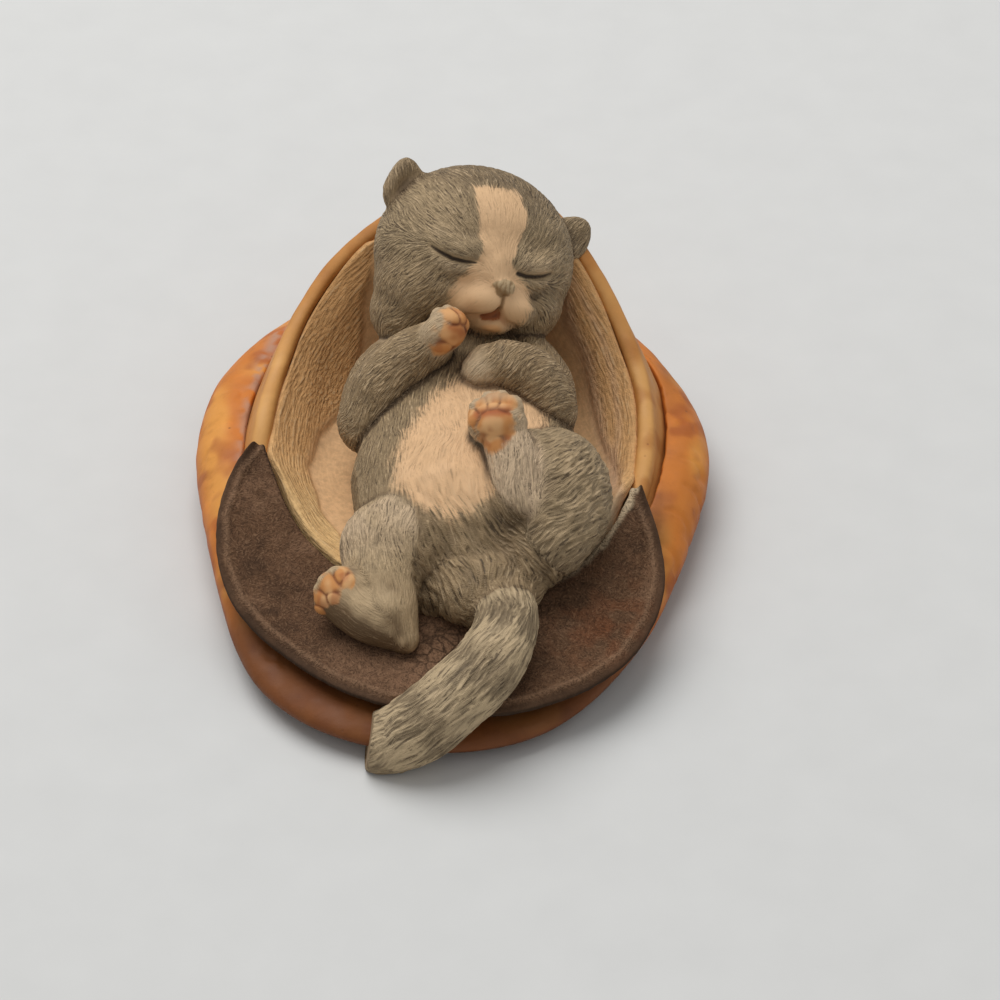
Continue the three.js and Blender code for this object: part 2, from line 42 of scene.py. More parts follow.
# camera, at the height and side the figurine was looked at from
shot = {"azimuth": 6, "elevation": 40, "distance": 0.51, "lens": 130, "aim": (0.006417, -0.000239, 0.004918)}
az, el = math.radians(shot["azimuth"]), math.radians(shot["elevation"])
toCamera = Vector((math.sin(az) * math.cos(el), -math.cos(az) * math.cos(el), math.sin(el)))
bpy.ops.object.camera_add(location=Vector(shot["aim"]) + toCamera * shot["distance"],
                          rotation=(-toCamera).to_track_quat("-Z", "Y").to_euler())
camera = bpy.context.active_object
camera.name = "viewCamera"
camera.data.lens = shot["lens"]
camera.data.clip_start = 0.01
bpy.context.scene.camera = camera
print("camera placed")


# small helpers
def pick(pieces):
    bpy.ops.object.select_all(action="DESELECT")
    for piece in pieces:
        piece.select_set(True)
    bpy.context.view_layer.objects.active = pieces[0]


def bakeTransform(piece):
    pick([piece])
    bpy.ops.object.transform_apply(location=True, rotation=True, scale=True)


def applyAll(piece):
    pick([piece])
    for modifier in list(piece.modifiers):
        bpy.ops.object.modifier_apply(modifier=modifier.name)


def joinPieces(pieces, name):
    pick(pieces)
    if len(pieces) > 1:
        bpy.ops.object.join()
    piece = bpy.context.active_object
    piece.name = piece.data.name = name
    return piece


def readArray(items, name, width, kind=np.float32):
    flat = np.empty(len(items) * width, kind)
    items.foreach_get(name, flat)
    return flat.reshape(-1, width)


def readPoints(mesh):  # in mm
    return readArray(mesh.vertices, "co", 3).astype(np.float64) / mm


def readNormals(mesh):
    return readArray(mesh.vertex_normals, "vector", 3).astype(np.float64)


def writePoints(mesh, points):
    mesh.vertices.foreach_set("co", (points * mm).astype(np.float32).ravel())
    mesh.update()


def normalsAt(mesh, points):  # the mesh takes the points, and its normals come back
    writePoints(mesh, points)
    return readNormals(mesh)


def unit(v):
    return v / np.maximum(np.linalg.norm(v, axis=-1, keepdims=True), 1e-9)


def dot(a, b):
    return (a * b).sum(-1)


def ramp(x, low, high):  # 0 at low, 1 at high
    t = np.clip((x - low) / (high - low), 0, 1)
    return t * t * (3 - 2 * t)


def bump(distance, width):
    return np.exp(-(distance / width) ** 2)


def relax(values, edges, rounds, weight=0.5):  # each vertex moves towards the mean of its neighbours
    a, b = edges[:, 0], edges[:, 1]
    count = np.bincount(np.concatenate([a, b]), minlength=len(values)).clip(1)
    out = values.astype(np.float64).copy()
    columns = out.reshape(len(out), -1)
    share = weight if np.isscalar(weight) else weight[:, None]
    for _ in range(rounds):
        total = np.stack([np.bincount(a, column[b], len(out)) + np.bincount(b, column[a], len(out))
                          for column in columns.T], axis=1)
        columns += (total / count[:, None] - columns) * share
    return columns.reshape(values.shape)


lattices = {}
latticeSide = 64  # cells before the noise repeats


def noise(points, cell, seed):  # smooth noise in 0..1, cell in mm
    if seed not in lattices:
        lattices[seed] = np.random.default_rng(seed).random(latticeSide ** 3, dtype=np.float32)
    table = lattices[seed]
    q = points / cell
    base = np.floor(q).astype(np.int32)
    part = (q - base).astype(np.float32)
    part = part * part * (3 - 2 * part)
    low, high = base % latticeSide, (base + 1) % latticeSide
    value = 0
    for i in (0, 1):
        x = (high if i else low)[:, 0] * latticeSide ** 2
        wx = part[:, 0] if i else 1 - part[:, 0]
        for j in (0, 1):
            xy = x + (high if j else low)[:, 1] * latticeSide
            wxy = wx * (part[:, 1] if j else 1 - part[:, 1])
            for k in (0, 1):
                w = wxy * (part[:, 2] if k else 1 - part[:, 2])
                value = value + w * table[xy + (high if k else low)[:, 2]]
    return value


def strokes(points, flow, cell, length, seed):  # engraved strands lying along flow, about -1..1
    steps = max(5, int(length / cell * 1.3))
    spread = np.linspace(-0.5, 0.5, steps)
    weights = np.cos(spread * math.pi) ** 2 + 0.05
    total = 0
    for t, w in zip(spread, weights):
        total = total + w * noise(points + flow * (t * length), cell, seed)
    total = total / weights.sum()
    total = (total - total.mean()) / total.std()
    return np.tanh(total * 0.8)


def setAttribute(mesh, name, values):  # numbers, linear colours or, as lie, the way a coat lies
    kind, field = ("FLOAT", "value") if values.ndim == 1 else ("FLOAT_COLOR", "color")
    if name == "lie":
        kind, field = "FLOAT_VECTOR", "vector"
    elif values.ndim == 2:
        values = np.c_[values, np.ones(len(values))]
    mesh.attributes.new(name, kind, "POINT").data.foreach_set(field, values.astype(np.float32).ravel())


def linear(r, g, b):  # a colour as seen on screen, 0..255, as the renderer wants it
    c = np.array([r, g, b]) / 255
    return np.where(c <= 0.04045, c / 12.92, ((c + 0.055) / 1.055) ** 2.4)


# the kitten's forms, mm: x, y, height above the lining's floor
def headAxes(turn, tilt, roll):
    turn, tilt, roll = (math.radians(a) for a in (turn, tilt, roll))
    forward = Vector((math.sin(turn) * math.cos(tilt), -math.cos(turn) * math.cos(tilt), math.sin(tilt)))
    right = Vector((math.cos(turn), math.sin(turn), 0))
    right.rotate(Matrix.Rotation(roll, 3, forward))
    up = forward.cross(right)
    return Matrix((right, up, forward)).transposed()


headPlace = {
    "centre": Vector((0.1, 22, 30.4)), "axes": headAxes(28, 31, -27.5),
    # place and half sizes in the head's own right, up and forward
    "forms": [
        ((0.2, 0.3, 0), (14.5, 12.9, 12.4)), ((0, 3.5, 1.2), (11.4, 9.1, 10.6)),
        ((-7, -5, 1.4), (6.4, 7.2, 8.6)), ((-7.4, -9.6, 0.4), (5.3, 5.2, 6.8)), ((6.6, -4, 1.8), (7.3, 6.8, 8.3)),
        ((-5.6, -4, 4.4), (6.4, 6, 6.6)), ((6, -4.4, 4), (6.8, 6, 7)),
        ((0, -1.2, 8.6), (3.4, 5, 4.6)), ((0.8, -4.8, 9.8), (5.6, 3.6, 3.4)), ((-1.1, -5.6, 10.4), (3.6, 2.8, 3.1)),
        ((-2.4, -6.5, 9.5), (3, 2.3, 2.8)), ((3.3, -5.5, 10.3), (3.4, 3, 3)), ((0.8, -3, 12.4), (1.9, 1.4, 1.4)),
        ((1, -8.5, 9.2), (2.7, 1.8, 3)),
    ],
}
limbs = {
    "torso": [
        {"squash": 0.7, "line": [(1, 16, 11.1, 9), (1.4, 9, 10, 12), (2, 1, 7.6, 14.6), (3, -7, 5.8, 16.6),
                                 (4.4, -14, 4.9, 16.4), (5.8, -20.2, 3.9, 13.2), (6.8, -24.6, 3.3, 8.8)]},
        {"squash": 0.8, "line": [(-0.4, -20.6, 3, 7.4), (0.2, -25.2, 1.6, 5.2)]},
        {"squash": 0.8, "line": [(8, -19.4, 5.4, 8), (12, -22, 4, 5.6)]},
    ],
    "foreleg_right": [
        {"line": [(-6.6, 11, 12, 5.2), (-10.2, 5.4, 11.2, 5.4), (-11.6, 0, 8.8, 5)]},
        {"line": [(-11.6, -0.4, 9.2, 4.8), (-9.8, 1.8, 13.4, 4.8), (-6.4, 3.8, 17.4, 4.2), (-3.8, 4.6, 19.4, 3.4)]},
    ],
    "foreleg_left": [
        {"line": [(7, 12.6, 11.8, 5.2), (10.8, 6.6, 11.8, 5.2), (12.4, 1.6, 11.4, 4.8)]},
        {"line": [(12.2, 1.8, 12.2, 4.8), (10, 3.2, 15.4, 4.7), (7, 3.2, 17.2, 4.1), (4.6, 2.6, 17.6, 3.5)]},
    ],
    "hind_leg_left": [
        {"line": [(15.2, -17.6, 8.2, 7.2), (14.4, -20.4, 7.2, 6.4), (12.8, -22.4, 6, 5.4)]},
        {"line": [(10.7, -18.9, 12.4, 4), (10.2, -17, 14.6, 3.8), (9.6, -15, 16.4, 3.5), (8.4, -12.8, 18, 3.2)]},
        {"line": [(14.4, -18, 10.4, 5.4), (13.6, -15, 12.8, 4.8), (12.2, -11.4, 14.2, 3.6)]},
    ],
    "hind_leg_right": [
        {"line": [(1, -19, 4.4, 8.4), (-3.4, -21, 5.4, 8), (-6.4, -22.6, 5.4, 6.8)]},
        {"line": [(-6.8, -23.4, 5, 6), (-6.4, -28.6, 4.4, 5.2), (-5.2, -32.8, 3.3, 4.2)]},
        {"line": [(-5.6, -31.6, 3.4, 4.4), (-3.6, -34.6, 1.8, 3.2), (-2.6, -35.8, 1, 2.2)]},
        {"line": [(-3.8, -34.6, 1.6, 3.1), (-7.4, -33.6, 2.7, 3.8), (-10.2, -32.1, 3.6, 3.9)]},
    ],
    "tail": [
        {"squash": 0.85, "line": [(8.8, -22.4, 3.4, 3.7), (9.9, -28.4, 3.9, 4), (10.9, -34.8, 4.4, 4.3),
                                  (10.2, -39.6, 4, 4.7), (8.2, -43.4, 2.6, 5), (5.2, -46, 0.6, 5.1),
                                  (2.2, -47.7, -1.8, 5.2), (-0.8, -48.5, -4.2, 5.1), (-3.8, -48.2, -6.4, 4.8)]},
    ],
}
lift = Vector((0, 0, floorHeight))
haunch = {"place": (14.4, -13.2, 8), "halves": (8.8, 10.8, 9.2)}
tailCut = {"place": (-5.6, -46.6, 5.4), "facing": (-0.97, -0.08, 0.16)}  # the smooth facet at the tail's end
# place, toe direction, side the pads look to, half width, half length, half thickness
paws = {
    "foreleg_right": ((-1.9, 4, 22.1), (0.35, 0.6, 0.75), (0.72, -0.54, 0.4), (3, 4, 2.7)),
    "foreleg_left": ((3.7, 1.5, 17.6), (-0.93, -0.3, -0.22), (-0.1, -0.72, 0.4), (2.7, 2.9, 2.6)),
    "hind_leg_left": ((7.3, -11.5, 19), (-0.16, 0.68, 0.72), (-0.1, -0.7, 0.7), (4.1, 4.5, 2.9)),
    "hind_leg_right": ((-11.2, -31.6, 4.3), (-0.92, 0.2, 0.32), (-0.35, -0.72, 0.6), (3.9, 3.6, 3.4)),
}
# pads of each sole: place across and along it and size, as shares of the paw's half width and length
soles = {
    "foreleg_right": [(-0.5, 0.62, 0.34), (-0.02, 0.8, 0.36), (0.46, 0.66, 0.34), (0.04, 0.02, 0.66),
                      (0.1, -0.42, 0.46)],
    "hind_leg_left": [(0.74, 0.26, 0.3), (0.38, 0.58, 0.27), (0, 0.66, 0.29), (-0.44, 0.58, 0.3), (-0.06, -0.1, 0.6),
                      (0.06, -0.5, 0.42)],
    "hind_leg_right": [(-0.68, 0.4, 0.26), (-0.64, 0.1, 0.24), (-0.2, 0.62, 0.38), (0.36, 0.7, 0.3), (0.78, 0.6, 0.22),
                       (0.06, 0.32, 0.26)],
}


def inHead(place):  # from the head's own right, up and forward
    return headPlace["centre"] + headPlace["axes"] @ Vector(place)


def limbPlaces(line, squash=1):
    return [np.array([x, y, (h + floorHeight) / squash]) for x, y, h, r in line]


def addBall(place, halves, axes=Matrix.Identity(3), fine=32):  # place in mm above the table
    bpy.ops.mesh.primitive_uv_sphere_add(segments=fine, ring_count=fine * 5 // 8, radius=mm, scale=halves,
                                         location=Vector(place) * mm, rotation=axes.to_euler())
    bakeTransform(bpy.context.active_object)
    return bpy.context.active_object


def addLimb(line, squash=1):
    bpy.ops.curve.primitive_bezier_curve_add(location=(0, 0, 0))
    limb = bpy.context.active_object
    limb.data.twist_mode = "Z_UP"
    spline = limb.data.splines[0]
    spline.bezier_points.add(len(line) - 2)
    for point, place, (*_, radius) in zip(spline.bezier_points, limbPlaces(line, squash), line):
        point.co = Vector(place) * mm
        point.handle_left_type = point.handle_right_type = "AUTO"
        point.radius = radius
    limb.data.bevel_depth = mm
    limb.data.bevel_resolution = 8
    limb.data.resolution_u = 10
    limb.data.use_fill_caps = True
    bpy.ops.object.convert(target="MESH")
    tube = bpy.context.active_object
    tube.scale.z = squash
    bakeTransform(tube)
    fit = 0.98  # the balls that close a tube stay just inside it
    ends = [addBall((x, y, h + floorHeight), (r * fit, r * fit, r * squash * fit))
            for x, y, h, r in (line[0], line[-1])]
    return [tube] + ends


def pawFrame(name):
    place, toward, outward, halves = paws[name]
    t = Vector(toward).normalized()
    side = Vector(outward).cross(t).normalized()
    out = t.cross(side).normalized()
    axes = Matrix((side, t, out)).transposed()
    return Vector(place) + lift, axes, halves


def addPaw(name, toes):
    centre, axes, (wide, long, thick) = pawFrame(name)
    forms = [((0, 0, 0), (wide, long, thick))]
    for i in toes:
        y = long * 0.64 - 0.44 * i * i
        forms.append(((i * wide * 0.42, y, thick * 0.05), (wide * 0.31, wide * 0.44, thick * 0.7)))
    return [addBall(centre + axes @ Vector(p), r, axes, 24) for p, r in forms]


def buildBlank():
    parts = [addBall(inHead(place), halves, headPlace["axes"], 48) for place, halves in headPlace["forms"]]
    for pieces in limbs.values():
        for limb in pieces:
            parts += addLimb(**limb)
    parts.append(addBall(Vector(haunch["place"]) + lift, haunch["halves"], fine=40))
    for name in paws:
        toes = (-1.5, -0.5, 0.5, 1.5)
        parts += addPaw(name, toes[1:] if name == "foreleg_right" else toes)  # the right one's fourth toe is hidden
    return joinPieces(parts, "kittenBlank")


ears = {
    "ear_right": {"base": (-11.5, 3.4, 0.4), "tip": (-13, 10.4, 0.2), "halves": (3.5, 4.5, 1.35)},
    "ear_left": {"base": (12, 4.7, 0.4), "tip": (15.4, 8.9, -0.6), "halves": (3.4, 3.5, 1.3)},
}


def earFrame(name):
    base, tip = inHead(ears[name]["base"]), inHead(ears[name]["tip"])
    along = (tip - base).normalized()
    face = headPlace["axes"].col[2]
    face = (face - along * face.dot(along)).normalized()
    return (base + tip) / 2, ears[name]["halves"], Matrix((along.cross(face), along, face)).transposed()


blank = buildBlank()
blank = joinPieces([blank] + [addBall(*earFrame(name)) for name in ears], "kittenBlank")
remesh = blank.modifiers.new("oneSkin", "REMESH")
remesh.mode, remesh.voxel_size = "VOXEL", 0.207 * mm
applyAll(blank)
print("kitten in one skin:", len(blank.data.polygons), "faces")


# which form each point belongs to
def ballGap(points, place, halves, axes=Matrix.Identity(3)):  # about how far a point lies outside a ball, mm
    q = (points - np.array(place)) @ np.array(axes) / np.array(halves)
    near = np.linalg.norm(q, axis=1)
    return near * (near - 1) / np.maximum(np.linalg.norm(q / np.array(halves), axis=1), 1e-6)


def toSegment(points, a, b):  # how far along a straight line the nearest spot is, 0..1, and the distance to it
    t = np.clip((points - a) @ (b - a) / ((b - a) @ (b - a)), 0, 1)
    return t, np.linalg.norm(points - a - t[:, None] * (b - a), axis=1)


def limbGap(points, line, squash=1):
    p = points / np.array([1, 1, squash])
    best = np.full(len(p), 1e9)
    places = limbPlaces(line, squash)
    for a, b, (*_, r1), (*_, r2) in zip(places, places[1:], line, line[1:]):
        t, away = toSegment(p, a, b)
        best = np.minimum(best, away - r1 - (r2 - r1) * t)
    return best


def gapTo(points, name):
    gaps = [limbGap(points, **limb) for limb in limbs.get(name, [])]
    if name == "head":
        gaps += [ballGap(points, inHead(p), r, headPlace["axes"]) for p, r in headPlace["forms"]]
    if name in ears:
        gaps.append(ballGap(points, *earFrame(name)) + 0.5)
    if name == "hind_leg_left":
        gaps.append(ballGap(points, Vector(haunch["place"]) + lift, haunch["halves"]))
    if name in paws:
        centre, axes, (wide, long, thick) = pawFrame(name)
        gaps.append(ballGap(points, centre + axes @ Vector((0, long * 0.08, 0)),
                            (wide * 1.1, long * 0.95, thick * 1.1), axes))
    return np.min(gaps, axis=0)


pieceNames = ["head", "ear_right", "ear_left", "torso", "foreleg_right", "foreleg_left",
              "hind_leg_left", "hind_leg_right", "tail"]
points = readPoints(blank.data)
edges = readArray(blank.data.edges, "vertices", 2, np.int32)
rounds = 7
points = relax(points, edges, rounds)
gaps = {name: gapTo(points, name) for name in pieceNames}
belongs = np.argmin(list(gaps.values()), axis=0)
isPart = {name: belongs == i for i, name in enumerate(pieceNames)}
softPart = dict(zip(pieceNames, relax(np.stack([isPart[n].astype(float) for n in pieceNames], 1),
                                      edges, rounds * 3).T))
# at the groin the coat runs on from the belly over both thighs, so the valleys there are filled
valley = np.maximum(bump(gaps["torso"] - gaps["hind_leg_right"], 2.4), bump(gaps["torso"] - gaps["hind_leg_left"], 2)) \
    * ramp(-points[:, 1], 17, 21) * (points[:, 2] > 10)
valley = np.maximum(valley, 0.7 * bump(gaps["torso"] - gaps["tail"], 1.6) * (points[:, 2] > 10))
valley = np.maximum(valley, 0.55 * isPart["hind_leg_right"] * ramp(-points[:, 1], 27, 31))
points = relax(points, edges, 90, 0.5 * valley)


# the face, in the head's own right, up and forward
def headPoints(points):
    return (points - np.array(headPlace["centre"])) @ np.array(headPlace["axes"])


def lineGap(flat, line):  # distance to an open line in two axes, and how far along it, 0..1
    best, along = np.full(len(flat), 1e9), np.zeros(len(flat))
    for i, (a, b) in enumerate(zip(line, line[1:])):
        t, d = toSegment(flat, np.array(a), np.array(b))
        closer = d < best
        best = np.where(closer, d, best)
        along = np.where(closer, (i + t) / (len(line) - 1), along)
    return best, along


def zoneGap(flat, outline):  # distance inside (above 0) or outside (below 0) a closed outline
    best, inside = np.full(len(flat), 1e9), np.zeros(len(flat), bool)
    x, y = flat.T
    for a, b in zip(outline, outline[1:] + outline[:1]):
        p, q = np.array(a), np.array(b)
        best = np.minimum(best, toSegment(flat, p, q)[1])
        if p[1] != q[1]:
            crosses = (p[1] > y) != (q[1] > y)
            inside ^= crosses & (x < (q[0] - p[0]) * (y - p[1]) / (q[1] - p[1]) + p[0])
    return np.where(inside, best, -best)


faceLines = {
    "eyeRight": [(-9.3, -0.1), (-8.1, -0.6), (-6.4, -1.05), (-4.8, -1.0), (-3.3, -0.8)],
    "eyeLeft": [(3.0, -0.7), (4.4, -0.75), (5.7, -0.5), (7.0, -0.1), (8.3, 0.6)],
    "philtrum": [(1.5, -4.2), (1.65, -5.3), (1.6, -6.4)],
    "lipRight": [(1.6, -6.4), (0.8, -7.1), (-0.8, -7.9), (-2.4, -8.3)],
    "lipLeft": [(1.6, -6.4), (2.3, -7.3), (3.3, -7.9), (4.8, -8)],
    "mouth": [(1.6, -6.5), (0.7, -7.3), (-0.7, -8.05), (-0.2, -8.35), (1.1, -8.05), (2.2, -7.6), (2.1, -7)],
    "blaze": [(-4.8, 9.6), (-4.6, 7.1), (-4, 4.7), (-3.4, 2.4), (-2.9, 1), (-2.8, -0.4), (-3.7, -1.6), (-4.2, -3.2),
              (-5.2, -5.6), (-5.2, -8.4), (-2, -10.2), (1, -10.2), (3.6, -9), (5.4, -7), (6.2, -5), (5.6, -3),
              (4, -1.6), (2.6, -0.8), (1.6, 0.8), (1.9, 2.4), (2.5, 4.4), (2.9, 6.6), (2.2, 8.8), (1.3, 10.8)],
}


def noseCombs(points, flat):  # upright lines, as scratched with a tool, -1..1
    fan = (flat[:, 0] - 1.3) * (1 - 0.12 * (flat[:, 1] + 3.2))
    return np.cos((fan / 0.62 + 0.9 * noise(points, 0.8, 45)) * 2 * math.pi) * ramp(flat[:, 1], -4.2, -3.4)


def sculptFace(points, mesh):
    q = headPoints(points)
    onFace = softPart["head"] * ramp(q[:, 2], 3, 6)
    flat = q[:, :2]
    normals = normalsAt(mesh, points)
    move = np.zeros(len(points))
    for name, side in (("eyeRight", -1), ("eyeLeft", 1)):
        gap, along = lineGap(flat, faceLines[name])
        middle = np.sin(along * math.pi).clip(0)
        above = flat[:, 1] - np.interp(flat[:, 0], *np.array(faceLines[name]).T)
        x = flat[:, 0] - side * 5.9
        lid = bump(x, 3.2) * (0.75 * bump(above - 1.5, 1.5) + 0.45 * bump(above + 1.3, 1.1))
        socket = bump(x, 4.2) * 0.5 * bump(above - 4.2, 1.5) + 0.35 * bump(x, 3.4) * bump(above + 3, 1)
        move += lid - socket - (0.25 + 0.5 * middle) * bump(gap, 0.3)
    philtrum, lipRight, lipLeft = (lineGap(flat, faceLines[n])[0] for n in ("philtrum", "lipRight", "lipLeft"))
    move -= 0.45 * bump(philtrum, 0.3) + 0.5 * bump(lipLeft, 0.38) + 0.5 * bump(lipRight, 0.38)
    droop = 0.12 * (flat[:, 0] - 1.3)  # the mouth slopes a little to the kitten's left
    mouth = ramp(zoneGap(flat, faceLines["mouth"]), -0.25, 0.3)
    lip = bump((flat[:, 0] - 1.5) / 1.6, 1) * bump((flat[:, 1] + 8.95 - droop) / 0.6, 1)
    move += 0.3 * lip - 0.5 * mouth - 0.35 * bump((flat[:, 0] - 1.5) / 3, 1) * bump((flat[:, 1] + 9.9) / 0.5, 1)
    nose = bump((flat[:, 0] - 1.3) / (1.6 + 0.35 * (flat[:, 1] + 3.2)), 1.0) * bump((flat[:, 1] + 3.2) / 1.15, 1.0)
    nose = ramp(nose + 0.3 * (noise(points, 0.5, 47) - 0.5), 0.2, 0.6)
    move += 0.12 * nose + 0.14 * nose * noseCombs(points, flat)
    return points + normals * (move * onFace)[:, None], mouth * onFace, nose * onFace, lip * onFace


# the muzzle sits a little to one side, as on the casting
q = headPoints(points)
aside = 0.9 * ramp(-q[:, 1], 1, 5) * ramp(q[:, 2], 7, 11) * softPart["head"]
points = points + aside[:, None] * np.array(headPlace["axes"])[:, 0]
blend = softPart["head"] * (1 - 0.25 * ramp(q[:, 2], 9, 12))
points = relax(points, edges, 40, 0.5 * blend)
points, mouthMask, noseMask, lipMask = sculptFace(points, blank.data)
points = relax(points, edges, 1)

# the tail's end is cut off smooth at one side, and nothing reaches below the table
beyond = (points - np.array(tailCut["place"])) @ unit(np.array(tailCut["facing"])) * isPart["tail"]
tailFacet = ramp(beyond, 0, 0.25)
points = points - beyond.clip(0)[:, None] * unit(np.array(tailCut["facing"]))
points = relax(points, edges, 8, 0.5 * ramp(-points[:, 1], 43, 46) * isPart["tail"])
points[:, 2] = points[:, 2].clip(0.3)

# ears narrow towards the tip and are cupped on their inner side
for name in ears:
    place, halves, axes = earFrame(name)
    e = (points - np.array(place)) @ np.array(axes)
    narrow = 0.26 * ramp(e[:, 1], -1.5, halves[1]) * softPart[name]
    points = points - (e[:, 0] * narrow)[:, None] * np.array(axes)[:, 0]
    normals = normalsAt(blank.data, points)
    inner = softPart[name] * ramp(e[:, 2], 0.1, 0.6) * bump(e[:, 0] / (halves[0] * 0.62), 1) \
        * bump((e[:, 1] + 0.3) / (halves[1] * 0.62), 1)
    points = points - normals * ((1.1 if name == "ear_right" else 0.3) * inner)[:, None]
print("face and ears shaped")


# paws: pads and the clefts between the toes
def pawDetail(points, name):
    centre, axes, (wide, long, thick) = pawFrame(name)
    p = (points - np.array(centre)) @ np.array(axes)
    near = isPart[name] & (np.abs(p[:, 1]) < long * 1.7) & (np.abs(p[:, 0]) < wide * 1.5)
    facing = ramp(p[:, 2], -thick * 0.1, thick * 0.35) * near
    away = np.stack([np.hypot(p[:, 0] - x * wide, p[:, 1] - y * long) / (size * wide)
                     for x, y, size in soles[name]])
    away.sort(axis=0)
    first, second = away[0], away[1]
    inside = ramp(first + 0.6 * (noise(points, 0.7, 46) - 0.5), 1.3, 0.8) * facing
    crease = bump(second - first, 0.3) * ramp(first, 1.3, 0.9) * ramp(first, 0.4, 0.75) * facing
    tips = ramp(p[:, 1] / long, 0.5, 0.9) * facing * (name == "hind_leg_left")  # the toes' ends are pale
    under = bump((p[:, 1] / long - 0.3) / 0.16, 1) * ramp(np.abs(p[:, 0]) / wide, 0.75, 0.5) * inside
    return 0.26 * (1 - first ** 2).clip(0) * facing - 0.1 * crease, inside, crease, tips, under


rise, pads, creases, tips, under = (np.zeros(len(points)) for _ in range(5))
for name in soles:
    detail = pawDetail(points, name)
    rise = rise + detail[0]
    pads, creases, tips = (np.maximum(a, b) for a, b in zip((pads, creases, tips), detail[1:4]))
    if name != "hind_leg_right":
        under = np.maximum(under, detail[4])
points = points + normalsAt(blank.data, points) * rise[:, None]
points = relax(points, edges, 2)
normals = normalsAt(blank.data, points)
hollow = dot(relax(points, edges, 36) - points, normals)


# the coat: which way it lies, how deep it is cut
def alongLimb(points, line):  # which way the nearest stretch of a limb runs, and how far along it a point lies, mm
    best, along, flow, start = np.full(len(points), 1e9), np.zeros(len(points)), np.zeros_like(points), 0
    places = limbPlaces(line)
    for a, b in zip(places, places[1:]):
        length = np.linalg.norm(b - a)
        t, d = toSegment(points, a, b)
        flow[d < best] = (b - a) / length
        along = np.where(d < best, start + t * length, along)
        best, start = np.minimum(best, d), start + length
    return flow, along


def alongView(right, up):  # a direction in the surface that looks like (right, up) from the front
    d = np.asarray(right)[..., None] * viewRight + np.asarray(up)[..., None] * viewUp
    return d - viewBack * (dot(d, normals) / (normals @ viewBack).clip(0.3))[:, None]


viewBack = np.array(toCamera)
viewRight = unit(np.cross((0, 0, 1), viewBack))
viewUp = np.cross(viewBack, viewRight)


def coatFlow(points):
    axes = np.array(headPlace["axes"])
    q = headPoints(points)
    flow = np.zeros_like(points)
    radial = q - np.array([0.7, -3.5, 13])
    radial[:, 1] -= (0.55 + 0.6 * ramp(-q[:, 0], 0, 3)) * ramp(-q[:, 1], -2, 3) * np.abs(q[:, 0])
    flow[isPart["head"]] = (radial @ axes.T)[isPart["head"]]
    for name in ears:
        flow[isPart[name]] = np.array(earFrame(name)[2])[:, 1]
    x, y = points.T[:2]
    spread = np.clip((x - 3) / 14, -1, 1)
    back = alongView(spread * 0.3, -1)
    low = ramp(-y, 13, 23)[:, None]
    toTail = alongView(0.35 + 0.45 * ramp(x, 0, 12), -0.85)
    intoTail = ramp(gaps["tail"], 3.5, 0.5)[:, None]
    toTail = unit(toTail) * (1 - intoTail) + alongLimb(points, limbs["tail"][0]["line"])[0] * intoTail
    flow[isPart["torso"]] = unit(unit(back) * (1 - low) + unit(toTail) * low)[isPart["torso"]]
    for name in ("foreleg_right", "foreleg_left", "hind_leg_right", "tail"):
        line = sum((limb["line"] for limb in limbs[name]), [])
        flow[isPart[name]] = alongLimb(points, line)[0][isPart[name]]
    part = isPart["hind_leg_right"]
    onFoot = ramp(-y, 28, 31.5)[:, None]
    flow[part] = (unit(flow) * (0.25 + 0.75 * onFoot) + unit(alongView(0.12, -1)) * (1 - onFoot))[part]
    part = isPart["foreleg_left"]
    flow[part] = (unit(flow) * 0.5 + unit(alongView(-0.5, -0.85)))[part]
    part = isPart["hind_leg_left"]
    leg = unit(alongView(0.1, -1))
    swirl = alongView(-0.9, -0.42 - 0.3 * ramp(-y, 12, 20))
    onLeg = ramp(shinGap, 1.2, 0.2)[:, None]
    flow[part] = (unit(swirl) * (1 - onLeg) + leg * onLeg)[part]
    return flow


shinGap = limbGap(points, limbs["hind_leg_left"][1]["line"])
flow = relax(unit(coatFlow(points)), edges, 16)
wander = np.stack([noise(points, 3.2, 20 + i) + 0.6 * noise(points, 1.3, 24 + i) - 0.8 for i in range(3)], 1)
flow = flow + 0.7 * wander
flow = unit(flow - normals * dot(flow, normals)[:, None])
x, y, z = points.T
qHead = headPoints(points)
flatHead = qHead[:, :2]
acrossHead, upHead, outHead = qHead.T
nearLine = {name: lineGap(flatHead, faceLines[name])
            for name in ("eyeRight", "eyeLeft", "philtrum", "lipRight", "lipLeft")}
onFace = isPart["head"] * (outHead > 3)
blazeGap = zoneGap(flatHead, faceLines["blaze"])
groin = isPart["torso"] * ramp(-y, 15, 21)
haunchMask = isPart["hind_leg_left"] * ramp(shinGap, 0.8, 2)
bellyZone = [(-0.5, -0.4), (-2.9, -3.8), (-4.8, -8.4), (-6.1, -12), (-6.5, -13.8), (-5.7, -17.8), (-3.5, -21),
             (-0.6, -22.6), (2, -23.3), (4.2, -22.9), (6.6, -21.5), (9, -17), (12, -11), (13.6, -6), (13, -1.8),
             (10.5, 1), (5, 2)]
ragged = 1.4 * (noise(points, 1.3, 31) - 0.5)
belly = isPart["torso"] * ramp(zoneGap(points[:, :2], bellyZone) + ragged, -2, 1.8)
soft = 0.5 + 0.6 * ramp(-upHead, 0, 3)  # the marking fades out over the cheeks
blaze = onFace * ramp((blazeGap + ragged * 0.5) / soft, -1, 1)
blaze = blaze * (1 - 0.6 * ramp(upHead + ragged, 9.4, 11.4))
footRight = np.minimum(*(limbGap(points, limbs["hind_leg_right"][i]["line"]) for i in (2, 3)))
smoothFoot = isPart["hind_leg_right"] * ramp(footRight, 2, 0) \
    * ramp(-y + 3 * (noise(points, 1.5, 49) - 0.5), 27.5, 32.5)
